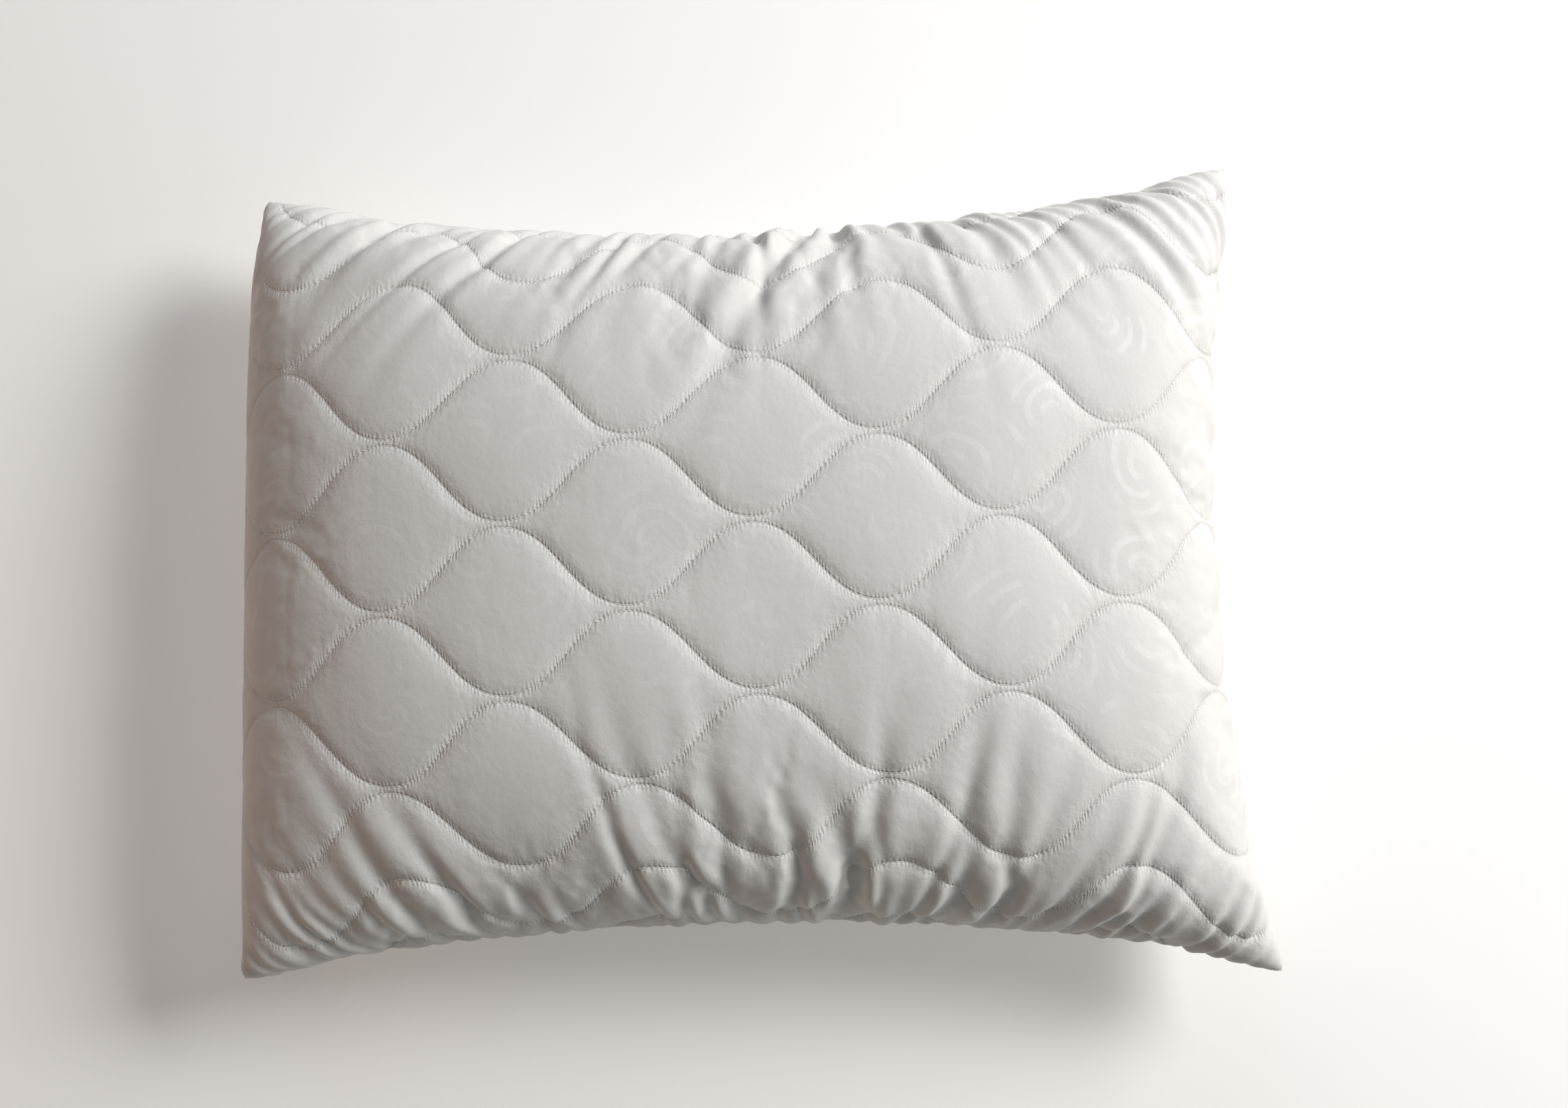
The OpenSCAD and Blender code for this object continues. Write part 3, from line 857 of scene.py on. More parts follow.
@dataclass(frozen=True)
class CoverShape:
    """Puts form, folds, creases and quilting together into the two faces of the cover.

    Attributes:
        cloth: the flat panel.
        pattern: its quilting lines.
        relief: how they press in.
        gathers: the creases along the edges.
        study: the simulated folds.
        columns: cells of the net along the panel.
        rows: cells across it.
        swell: height of the slow unevenness of the filling.
        seam_groove: how far the seam pulls the faces in.
        zip_calm: how far in from the zip the cloth lies calmer.
        fold_fade: distances from a corner between which the folds come up.
        relief_fade: the same for quilting and creases.
        layer_reach: how many cells round a place the layers under the face keep clear of.
    """

    cloth: PanelCloth = PanelCloth()
    pattern: QuiltPattern = QuiltPattern()
    relief: QuiltRelief = QuiltRelief()
    gathers: Gathers = Gathers()
    study: FoldStudy = FoldStudy()
    columns: int = 350
    rows: int = 250
    swell: float = 1.3
    seam_groove: float = 1.6
    zip_calm: float = 30.0
    fold_fade: tuple[float, float] = (10.0, 90.0)
    relief_fade: tuple[float, float] = (2.0, 34.0)
    layer_reach: int = 3

    def surfaces(self) -> dict[Side, CoverSurface]:
        """Both faces, joined along the seam."""
        u = np.linspace(-0.5, 0.5, self.columns + 1) * self.cloth.length
        v = np.linspace(-0.5, 0.5, self.rows + 1) * self.cloth.width
        s, t = self.cloth.lay(u, v)
        folds = self.study.folds()
        read_u = spread_matrix(np.linspace(0.0, self.study.columns, len(u)), self.study.columns + 1)
        read_v = spread_matrix(np.linspace(0.0, self.study.rows, len(v)), self.study.rows + 1)
        from_zip = np.abs(s + 1.0) * (self.cloth.form.length / 2)
        calm = 1.0 - 0.85 * self.cloth.form.slot_share(t) * np.exp(-from_zip / self.zip_calm)
        from_corner = np.hypot((u[-1] - np.abs(u))[:, None], (v[-1] - np.abs(v))[None, :])
        smooth, heights = {}, {}
        for side in Side:
            fade = smoothstep(*self.fold_fade, from_corner)[..., None]
            fold = resample(read_u, folds[side], read_v) * fade
            smooth[side] = self.cloth.form.point(s, t, side) + fold * calm[..., None]
            heights[side] = self._height(u, v, side) * calm * smoothstep(*self.relief_fade, from_corner)
        normals = {side: self._normals(smooth[side], side) for side in Side}
        # seen from above, outward directions count near the edges only, and most at the corners
        plan = np.stack([s**9, t**9, np.zeros_like(s)], axis=-1)
        plan *= (1.0 + 6.0 * np.exp(-((from_corner / 16.0) ** 2)))[..., None]
        self._join(heights, normals, plan)
        made = {}
        for side in Side:
            face = smooth[side] + heights[side][..., None] * normals[side]
            face[..., 2] = np.maximum(face[..., 2], FLOOR_GAP)
            low = np.minimum(lowest_nearby(heights[side], self.layer_reach), 0.0)
            made[side] = CoverSurface(side, u, v, smooth[side], face, normals[side], low)
        return made

    def _height(self, u: np.ndarray, v: np.ndarray, side: Side) -> np.ndarray:
        """Everything that raises or lowers the face above the folded form."""
        seed = 100 + 10 * side.value
        swell = self.swell * uneven_field(u, v, 62.0, 62.0, seed)
        in_u, in_v = np.minimum(u - u[0], u[-1] - u), np.minimum(v - v[0], v[-1] - v)
        edge = np.minimum(in_u[:, None], in_v[None, :])
        quilting = self.relief.height(self.pattern, u, v, seed) * smoothstep(-4.0, 14.0, edge)
        groove = -self.seam_groove * np.exp(-edge / 3.0)
        return quilting + self.gathers.height(u, v, side) + swell * smoothstep(0.0, 40.0, edge) + groove

    def _normals(self, points: np.ndarray, side: Side) -> np.ndarray:
        """Outward directions of a net of points."""
        du, dv = np.gradient(points, axis=0), np.gradient(points, axis=1)
        normal = np.cross(du, dv) * side.value
        return normal / np.maximum(np.linalg.norm(normal, axis=-1, keepdims=True), 1e-9)

    def _join(
        self, heights: dict[Side, np.ndarray], normals: dict[Side, np.ndarray], plan: np.ndarray
    ) -> None:
        """Gives both faces the same directions and heights at the seam.

        Args:
            heights: the heights of each side.
            normals: the outward directions of each side.
            plan: rough outward directions near the seam, seen from above.
        """
        mean_height = (heights[Side.TOP] + heights[Side.BACK]) / 2
        mean_normal = normals[Side.TOP] + normals[Side.BACK] + 0.4 * plan
        mean_normal /= np.maximum(np.linalg.norm(mean_normal, axis=-1, keepdims=True), 1e-9)
        rows, columns = np.arange(self.rows + 1), np.arange(self.columns + 1)
        in_u = np.minimum(columns, self.columns - columns)[:, None]
        in_v = np.minimum(rows, self.rows - rows)[None, :]
        hold = np.exp(-((np.minimum(in_u, in_v) / 3.0) ** 2))
        for side in Side:
            heights[side][:] = heights[side] * (1 - hold) + mean_height * hold
            mixed = normals[side] * (1 - hold[..., None]) + mean_normal * hold[..., None]
            normals[side][:] = mixed / np.maximum(np.linalg.norm(mixed, axis=-1, keepdims=True), 1e-9)


# ---------------------------------------------------------------- finishes


class Nodes:
    """Adds nodes to one node tree with their inputs set or linked."""

    def __init__(self, tree: bpy.types.NodeTree) -> None:
        """Works on this tree."""
        self.tree = tree

    def add(
        self, kind: str, inputs: dict[int | str, object] | None = None, **settings: object
    ) -> bpy.types.Node:
        """Adds a node.

        Args:
            kind: the node's type, without its prefix.
            inputs: a value or another node's socket for each input.
            **settings: the node's own settings.

        Returns:
            The node.
        """
        node = self.tree.nodes.new("ShaderNode" + kind)
        for key, value in settings.items():
            setattr(node, key, value)
        for key, value in (inputs or {}).items():
            if isinstance(value, bpy.types.NodeSocket):
                self.tree.links.new(value, node.inputs[key])
            else:
                node.inputs[key].default_value = value
        return node

    def math(self, operation: str, *values: object) -> bpy.types.NodeSocket:
        """Adds a Math node and returns its result."""
        return self.add("Math", dict(enumerate(values)), operation=operation).outputs[0]

    def ramp(self, value: object, low: float, high: float, start: float = 0.0, end: float = 1.0) -> object:
        """Adds a smooth ramp from start at the low value to end at the high one. Returns its result."""
        ends = {0: value, 1: low, 2: high, 3: start, 4: end}
        return self.add("MapRange", ends, interpolation_type="SMOOTHSTEP").outputs[0]

    def noise(self, place: object, scale: float, detail: float, **settings: object) -> bpy.types.Node:
        """Adds a noise texture and returns its node."""
        return self.add("TexNoise", {"Vector": place, "Scale": scale, "Detail": detail}, **settings)

    def tint(
        self, shader: bpy.types.Node, share: object, one: tuple[float, ...], other: tuple[float, ...]
    ) -> None:
        """Gives a shader a colour that lies between two others."""
        mix = self.add("Mix", {"Factor": share, 6: (*one, 1.0), 7: (*other, 1.0)}, data_type="RGBA")
        self.tree.links.new(mix.outputs[2], shader.inputs["Base Color"])

    def relief(self, shader: bpy.types.Node, height: object, scale: float) -> None:
        """Gives a shader a fine relief, from a height and the length in metres that 1 stands for."""
        bump = self.add("Bump", {"Height": height, "Distance": scale, "Strength": 1.0})
        self.tree.links.new(bump.outputs["Normal"], shader.inputs["Normal"])


def effect_group(
    name: str,
    takes: dict[str, str],
    gives: dict[str, str],
    build: Callable[[Nodes, object], dict[str, object]],
) -> bpy.types.NodeTree:
    """Makes a shader node group that puts out colours, masks or normals.

    Args:
        name: the group's name.
        takes: type of each input socket by name.
        gives: type of each output socket by name.
        build: adds the nodes, and returns the socket for each output.

    Returns:
        The group.
    """
    group = bpy.data.node_groups.new(name, "ShaderNodeTree")
    for socket, kind in takes.items():
        group.interface.new_socket(name=socket, in_out="INPUT", socket_type=kind)
    for socket, kind in gives.items():
        group.interface.new_socket(name=socket, in_out="OUTPUT", socket_type=kind)
    start, end = group.nodes.new("NodeGroupInput"), group.nodes.new("NodeGroupOutput")
    for socket, value in build(Nodes(group), start.outputs).items():
        group.links.new(value, end.inputs[socket])
    return group


def scroll_group() -> bpy.types.NodeTree:
    """Mask of an embossed pattern of loose curls of a few centimetres."""

    def build(n: Nodes, given: object) -> dict[str, object]:
        place = given["Place"]
        drift = n.noise(place, 9.0, 1.0, noise_dimensions="2D").outputs["Color"]
        shift = {"Factor": 0.035, 6: place, 7: drift}
        bent = n.add("Mix", shift, data_type="RGBA", blend_type="ADD").outputs[2]
        curls = {"Vector": bent, "Scale": 17.0, "Randomness": 0.85}
        cells = n.add("TexVoronoi", curls, voronoi_dimensions="2D")
        apart = n.add("VectorMath", {0: bent, 1: cells.outputs["Position"]}, operation="SUBTRACT").outputs[0]
        parts = n.add("SeparateXYZ", {0: apart})
        angle = n.math("ARCTAN2", parts.outputs["Y"], parts.outputs["X"])
        reach = n.math("MULTIPLY", cells.outputs["Distance"], 16.0)
        spin = n.math("MULTIPLY", n.add("SeparateColor", {0: cells.outputs["Color"]}).outputs[0], 6.3)
        turn = n.math("ADD", n.math("ADD", angle, reach), spin)
        arm = n.math("SINE", n.math("MULTIPLY", turn, 2.0))
        border = n.add("TexVoronoi", curls, voronoi_dimensions="2D", feature="DISTANCE_TO_EDGE")
        inside = n.ramp(border.outputs["Distance"], 0.03, 0.14)
        worn = n.ramp(n.noise(place, 26.0, 2.0, noise_dimensions="2D").outputs["Fac"], 0.42, 0.6)
        return {"Mask": n.math("MULTIPLY", n.ramp(arm, 0.15, 0.6), n.math("MULTIPLY", inside, worn))}

    return effect_group("embossed scrolls", {"Place": "NodeSocketVector"}, {"Mask": "NodeSocketFloat"}, build)


@dataclass(frozen=True)
class ClothFinish:
    """Finish of a cloth.

    Attributes:
        name: the finish's name.
        colour: its colour.
        rough: its roughness.
        sheen: how strongly its nap catches light.
        grain: size of its weave, in millimetres.
        bump: height of its weave, in millimetres.
    """

    name: str
    colour: tuple[float, float, float]
    rough: float = 0.85
    sheen: float = 0.25
    grain: float = 0.7
    bump: float = 0.03

    def material(self) -> bpy.types.Material:
        """The finish as a material that reads Object coordinates."""
        material, n, shader = blank_material(self.name)
        place = n.add("TexCoord").outputs["Object"]
        shader.inputs["Roughness"].default_value = self.rough
        shader.inputs["Sheen Weight"].default_value = self.sheen
        shader.inputs["Sheen Roughness"].default_value = 0.45
        weave = n.noise(place, 1000.0 / self.grain, 2.0).outputs["Fac"]
        cloudy = n.noise(place, 14.0, 3.0).outputs["Fac"]
        n.tint(shader, n.math("MULTIPLY", cloudy, 0.12), self.colour, tuple(c * 0.9 for c in self.colour))
        n.relief(shader, weave, self.bump * MM)
        return material


@dataclass(frozen=True)
class FaceFinish:
    """Finish of the cover's face: soft brushed microfibre, embossed with curls in its own colour.

    Attributes:
        name: the finish's name.
        colour: its colour.
        scroll: the colour of the embossed curls.
        rough: its roughness.
        sheen: how strongly its nap catches light.
        groove_depth: depth of the fine groove along a quilting line, in millimetres.
        groove_reach: how far the groove reaches to each side.
        pucker_height: height of the puckers between stitches.
        pucker_reach: how far they reach to each side.
    """

    name: str = "embossed_microfibre"
    colour: tuple[float, float, float] = (0.555, 0.545, 0.525)
    scroll: tuple[float, float, float] = (0.58, 0.57, 0.55)
    rough: float = 0.74
    sheen: float = 0.25
    groove_depth: float = 0.34
    groove_reach: float = 1.5
    pucker_height: float = 0.1
    pucker_reach: float = 4.5

    def material(self) -> bpy.types.Material:
        """The finish as a material that reads the panel's own flat coordinates, in metres."""
        material, n, shader = blank_material(self.name)
        place = n.add("UVMap", uv_map="Panel").outputs["UV"]
        shader.inputs["Sheen Weight"].default_value = self.sheen
        shader.inputs["Sheen Roughness"].default_value = 0.4
        scroll = n.add("Group", {"Place": place}, node_tree=scroll_group()).outputs["Mask"]
        n.tint(shader, scroll, self.colour, self.scroll)
        rough = n.math("SUBTRACT", self.rough, n.math("MULTIPLY", scroll, 0.12))
        n.tree.links.new(rough, shader.inputs["Roughness"])
        crumple = n.noise(place, 260.0, 3.0, noise_dimensions="2D").outputs["Fac"]
        nap = n.noise(place, 1400.0, 2.0, noise_dimensions="2D").outputs["Fac"]
        seams, near = self._seams(n)
        pucker = n.math("MULTIPLY", crumple, n.math("ADD", n.math("MULTIPLY", near, 0.3), 0.12))
        fine = n.math("ADD", n.math("MULTIPLY", nap, 0.04), n.math("MULTIPLY", scroll, 0.03))
        n.relief(shader, n.math("ADD", n.math("ADD", pucker, fine), seams), MM)
        return material

    def _seams(self, n: Nodes) -> tuple[bpy.types.NodeSocket, bpy.types.NodeSocket]:
        """The quilting lines' fine relief in millimetres, and a mask that is 1 close to a line."""
        heights, masks = [], []
        for name in ("even_line", "odd_line"):
            signed, near, run = (
                n.add("Attribute", attribute_name=name + end).outputs["Fac"] for end in ("", "_near", "_run")
            )
            away = n.math("ABSOLUTE", signed)
            groove = n.ramp(away, 0.0, self.groove_reach, -self.groove_depth, 0.0)
            side = n.math("MULTIPLY", n.math("SIGN", signed), 0.9)
            wander = n.math("MULTIPLY", n.math("SINE", n.math("MULTIPLY", run, 0.31)), 2.2)
            stitches = n.math("MULTIPLY", run, 2.0 * math.pi / QuiltPattern.stitch_pitch)
            turn = n.math("ADD", stitches, n.math("ADD", wander, side))
            fall = n.ramp(away, 0.3, self.pucker_reach, self.pucker_height, 0.0)
            ladder = n.math("MULTIPLY", n.math("SINE", turn), fall)
            heights.append(n.math("MULTIPLY", n.math("ADD", groove, ladder), n.ramp(near, 0.3, 0.7)))
            masks.append(near)
        return n.math("ADD", *heights), n.math("MAXIMUM", *masks)


@dataclass(frozen=True)
class PlainFinish:
    """Finish of a thread, a plastic or a painted metal.

    Attributes:
        name: the finish's name.
        colour: its colour.
        rough: its roughness.
        metal: 0 for a plain material and 1 for bare metal.
        sheen: how strongly its nap catches light.
    """

    name: str
    colour: tuple[float, float, float]
    rough: float
    metal: float = 0.0
    sheen: float = 0.0

    def material(self) -> bpy.types.Material:
        """The finish as a material."""
        material, n, shader = blank_material(self.name)
        shader.inputs["Base Color"].default_value = (*self.colour, 1.0)
        shader.inputs["Metallic"].default_value = self.metal
        shader.inputs["Sheen Weight"].default_value = self.sheen
        place = n.add("TexCoord").outputs["Object"]
        wear = n.noise(place, 900.0, 2.0).outputs["Fac"]
        rough = n.add("MapRange", {0: wear, 3: self.rough - 0.06, 4: self.rough + 0.06})
        n.tree.links.new(rough.outputs[0], shader.inputs["Roughness"])
        return material


def blank_material(name: str) -> tuple[bpy.types.Material, Nodes, bpy.types.Node]:
    """A new material with its nodes and its shader."""
    material = bpy.data.materials.new(name)
    material.use_nodes = True
    return material, Nodes(material.node_tree), material.node_tree.nodes["Principled BSDF"]


def made_from(finish: ClothFinish | FaceFinish | PlainFinish) -> bpy.types.Material:
    """A field that holds the material of a finish."""
    return field(default_factory=finish.material)


@dataclass
class Finishes:
    """Every finish of the pillow, made once."""

    face: bpy.types.Material = made_from(FaceFinish())
    thread: bpy.types.Material = made_from(
        PlainFinish("polyester_thread", (0.60, 0.59, 0.57), 0.6, sheen=0.2)
    )
    fleece: bpy.types.Material = made_from(ClothFinish("fleece", (0.86, 0.86, 0.84), 0.95, 0.4, 3.0, 0.4))
    lining: bpy.types.Material = made_from(ClothFinish("bonded_lining", (0.78, 0.78, 0.76), 0.8, 0.1))
    cotton: bpy.types.Material = made_from(ClothFinish("case_cotton", (0.80, 0.80, 0.77), 0.85, 0.15))
    satin: bpy.types.Material = made_from(
        ClothFinish("label_satin", (0.82, 0.82, 0.80), 0.38, 0.1, 0.4, 0.01)
    )
    tape: bpy.types.Material = made_from(ClothFinish("woven_tape", (0.76, 0.75, 0.73), 0.7, 0.2, 0.6, 0.06))
    nylon: bpy.types.Material = made_from(PlainFinish("nylon", (0.80, 0.80, 0.78), 0.36))
    metal: bpy.types.Material = made_from(PlainFinish("painted_metal", (0.78, 0.78, 0.76), 0.3, metal=0.15))


# ---------------------------------------------------------------- repeated shapes


def stitch_shape(length: float, radius: float) -> bmesh.types.BMesh:
    """One stitch: a short plump bead of thread along X, sunk at both ends."""
    bm = bmesh.new()
    bmesh.ops.create_uvsphere(bm, u_segments=6, v_segments=4, radius=1.0)
    for vert in bm.verts:
        x, y, z = vert.co
        vert.co = (z * length / 2, y * radius, x * radius - 0.35 * radius * z * z)
    bmesh.ops.recalc_face_normals(bm, faces=bm.faces[:])
    return bm


def repeat_shape(
    name: str,
    shape: bmesh.types.BMesh,
    places: np.ndarray,
    ahead: np.ndarray | tuple[float, ...],
    out: np.ndarray | tuple[float, ...],
) -> bpy.types.Mesh:
    """Copies a small shape to many places as one mesh.

    Args:
        name: the mesh's name.
        shape: the shape in millimetres, along X with Z outwards. It is freed.
        places: a point for each copy.
        ahead: the direction of each copy's X, or one direction for all.
        out: the direction of each copy's Z, roughly, or one for all.

    Returns:
        The mesh.
    """
    shape.verts.ensure_lookup_table()
    corners = np.array([vert.co[:] for vert in shape.verts])
    faces = [[vert.index for vert in face.verts] for face in shape.faces]
    shape.free()
    ahead, out = (np.broadcast_to(way, places.shape) for way in (ahead, out))
    x = ahead / np.linalg.norm(ahead, axis=1, keepdims=True)
    y = np.cross(out, x)
    y /= np.linalg.norm(y, axis=1, keepdims=True)
    turn = np.stack([x, y, np.cross(x, y)], axis=1)
    points = (places[:, None, :] + np.einsum("kc,ncd->nkd", corners, turn)).reshape(-1, 3) * MM
    count = len(corners)
    mesh = bpy.data.meshes.new(name)
    copies = [[k + n * count for k in face] for n in range(len(places)) for face in faces]
    mesh.from_pydata(points.tolist(), [], copies)
    mesh.update()
    return mesh


def settle(piece: bpy.types.Object, slot: str, *nodes: str, body: str = "pillow") -> bpy.types.Object:
    """Puts a piece on the body it rides on and hides the CAD nodes it stands for. The finish's slot is not
    used.
    """
    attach(piece, body)
    if nodes:
        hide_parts(*nodes)
    log.info("%s: %d faces", piece.name, len(piece.data.polygons))
    return piece


# ---------------------------------------------------------------- the quilted panels


@dataclass
class QuiltedPanel:
    """One quilted panel: face, wadding, lining, and the thread that holds them together.

    Attributes:
        surface: where its face lies.
        shape: how the cover was shaped.
        finishes: the finishes.
        turned_in: how far inside the seam each row of the face's edge lies.
        under_face: distance from the face to the wadding.
        wadding: thickness of the wadding.
        lining: thickness of the lining.
        pressed: share of the face's relief that shows on the inner layers.
        coarse: how many cells of the face make one of the layers.
        stitch_length: length of a stitch.
        stitch_radius: radius of the thread.
    """

    surface: CoverSurface
    shape: CoverShape
    finishes: Finishes
    turned_in: tuple[float, ...] = (0.5, 1.6, 5.0)
    under_face: float = 0.8
    wadding: float = 4.4
    lining: float = 0.3
    pressed: float = 0.3
    coarse: int = 3
    stitch_length: float = 2.55
    stitch_radius: float = 0.29

    def build(self) -> bpy.types.Object:
        """Builds the panel's pieces and returns its face."""
        word = self.surface.side.word
        face = settle(self._face(word), "face_cloth", f"{word}_face_cloth")
        finishes, deep = self.finishes, self.under_face + self.wadding + 0.1
        fleece = self._shell(f"{word}_wadding_fleece", self.under_face, self.wadding, 1.0, finishes.fleece)
        wadding = settle(fleece, "wadding", f"{word}_wadding")
        cloth = self._shell(f"{word}_lining_cloth", deep, self.lining, self.pressed, finishes.lining)
        lining = settle(cloth, "lining", f"{word}_lining")
        stitches = settle(self._stitches(word), "thread", f"{word}_quilting_thread")
        return face

    def _face(self, word: str) -> bpy.types.Object:
        """The face cloth, with its edge turned in at the seam."""
        side, shape = self.surface.side, self.shape
        lattice = Lattice(shape.columns, shape.rows).turn_in(len(self.turned_in))
        if side is Side.BACK:
            bmesh.ops.reverse_faces(lattice.bm, faces=lattice.bm.faces[:])
        mesh, where = lattice.finish("face")
        i, j, layer = where.T
        points = self.surface.face[i, j].copy()
        s = 2.0 * self.surface.u[i] / shape.cloth.length
        t = 2.0 * self.surface.v[j] / shape.cloth.width
        depth = np.array((0.0, *self.turned_in))[layer]
        points -= np.stack([s, t, np.zeros_like(s)], axis=-1) * depth[:, None]
        points[:, 2] += side.value * 0.12 * np.minimum(depth, 1.0)
        shape_mesh(mesh, points)
        u, v = self.surface.u[i], self.surface.v[j]
        past_u = (1.0 * (i == shape.columns) - (i == 0)) * depth
        past_v = (1.0 * (j == shape.rows) - (j == 0)) * depth
        spread = np.stack([u + past_u, v + past_v], axis=-1)
        add_uv(mesh, "Panel", spread * MM)
        reach = np.array([shape.cloth.length, shape.cloth.width]) + 4.0 * self.turned_in[-1]
        add_uv(mesh, "OFBake", spread / reach + 0.5)
        for parity, name in enumerate(("even_line", "odd_line")):
            away, run = shape.pattern.distances(self.surface.u, self.surface.v, parity)
            add_values(mesh, name, away[i, j])
            add_values(mesh, name + "_run", run[i, j])
            add_values(mesh, name + "_near", np.exp(-((away[i, j] / 9.0) ** 2)))
        return add_piece(f"{word}_face_fabric", mesh, self.finishes.face)

    def _shell(
        self, name: str, depth: float, thick: float, outer_pressed: float, finish: bpy.types.Material
    ) -> bpy.types.Object:
        """A closed layer of a thickness, with its outer face at a depth under the face cloth."""
        lattice = Lattice(self.shape.columns // self.coarse, self.shape.rows // self.coarse).thicken()
        mesh, where = lattice.finish(name)
        u = (where[:, 0] / lattice.columns - 0.5) * self.shape.cloth.length
        v = (where[:, 1] / lattice.rows - 0.5) * self.shape.cloth.width
        points = np.where(
            (where[:, 2] == 0)[:, None],
            self.surface.layer(u, v, depth, outer_pressed, min(depth, 2.0)),
            self.surface.layer(u, v, depth + thick, self.pressed, min(depth, 2.0) + thick * 0.5),
        )
        shape_mesh(mesh, points)
        right_way_out(mesh)
        return add_piece(name, mesh, finish)

    def _stitches(self, word: str) -> bpy.types.Object:
        """Every quilting stitch of the panel, sunk in its line."""
        pattern, cloth = self.shape.pattern, self.shape.cloth
        fine = np.linspace(-cloth.length / 2, cloth.length / 2, 2801)
        spots = []
        for n in pattern.numbers:
            run = pattern.run(n, fine)
            u = np.interp(np.arange(run[0], run[-1], pattern.stitch_pitch), run, fine)
            v = pattern.line(n, u)
            inside = (np.abs(v) < cloth.width / 2 - 3.0) & (np.abs(u) < cloth.length / 2 - 3.0)
            spots.append(np.stack([u, v, pattern.slope(n, u)])[:, inside])
        u, v, slope = np.concatenate(spots, axis=1)
        du = 1.0 / np.sqrt(1.0 + slope**2)
        dv = slope * du
        net = self.surface.face
        ahead = self.surface.read(net, u + du, v + dv) - self.surface.read(net, u - du, v - dv)
        out = self.surface.read(self.surface.normal, u, v)
        places = self.surface.read(net, u, v) + out * 0.02
        places[:, 2] = np.maximum(places[:, 2], 1.3 * self.stitch_radius)
        shape = stitch_shape(self.stitch_length, self.stitch_radius)
        mesh = repeat_shape("stitches", shape, places, ahead, out)
        return add_piece(f"{word}_quilting_stitches", mesh, self.finishes.thread)


def right_way_out(mesh: bpy.types.Mesh) -> None:
    """Turns a closed mesh's faces outwards."""
    bm = bmesh.new()
    bm.from_mesh(mesh)
    bmesh.ops.recalc_face_normals(bm, faces=bm.faces[:])
    if bm.calc_volume(signed=True) < 0:
        bmesh.ops.reverse_faces(bm, faces=bm.faces[:])
    bm.to_mesh(mesh)
    bm.free()


# ---------------------------------------------------------------- the side seam


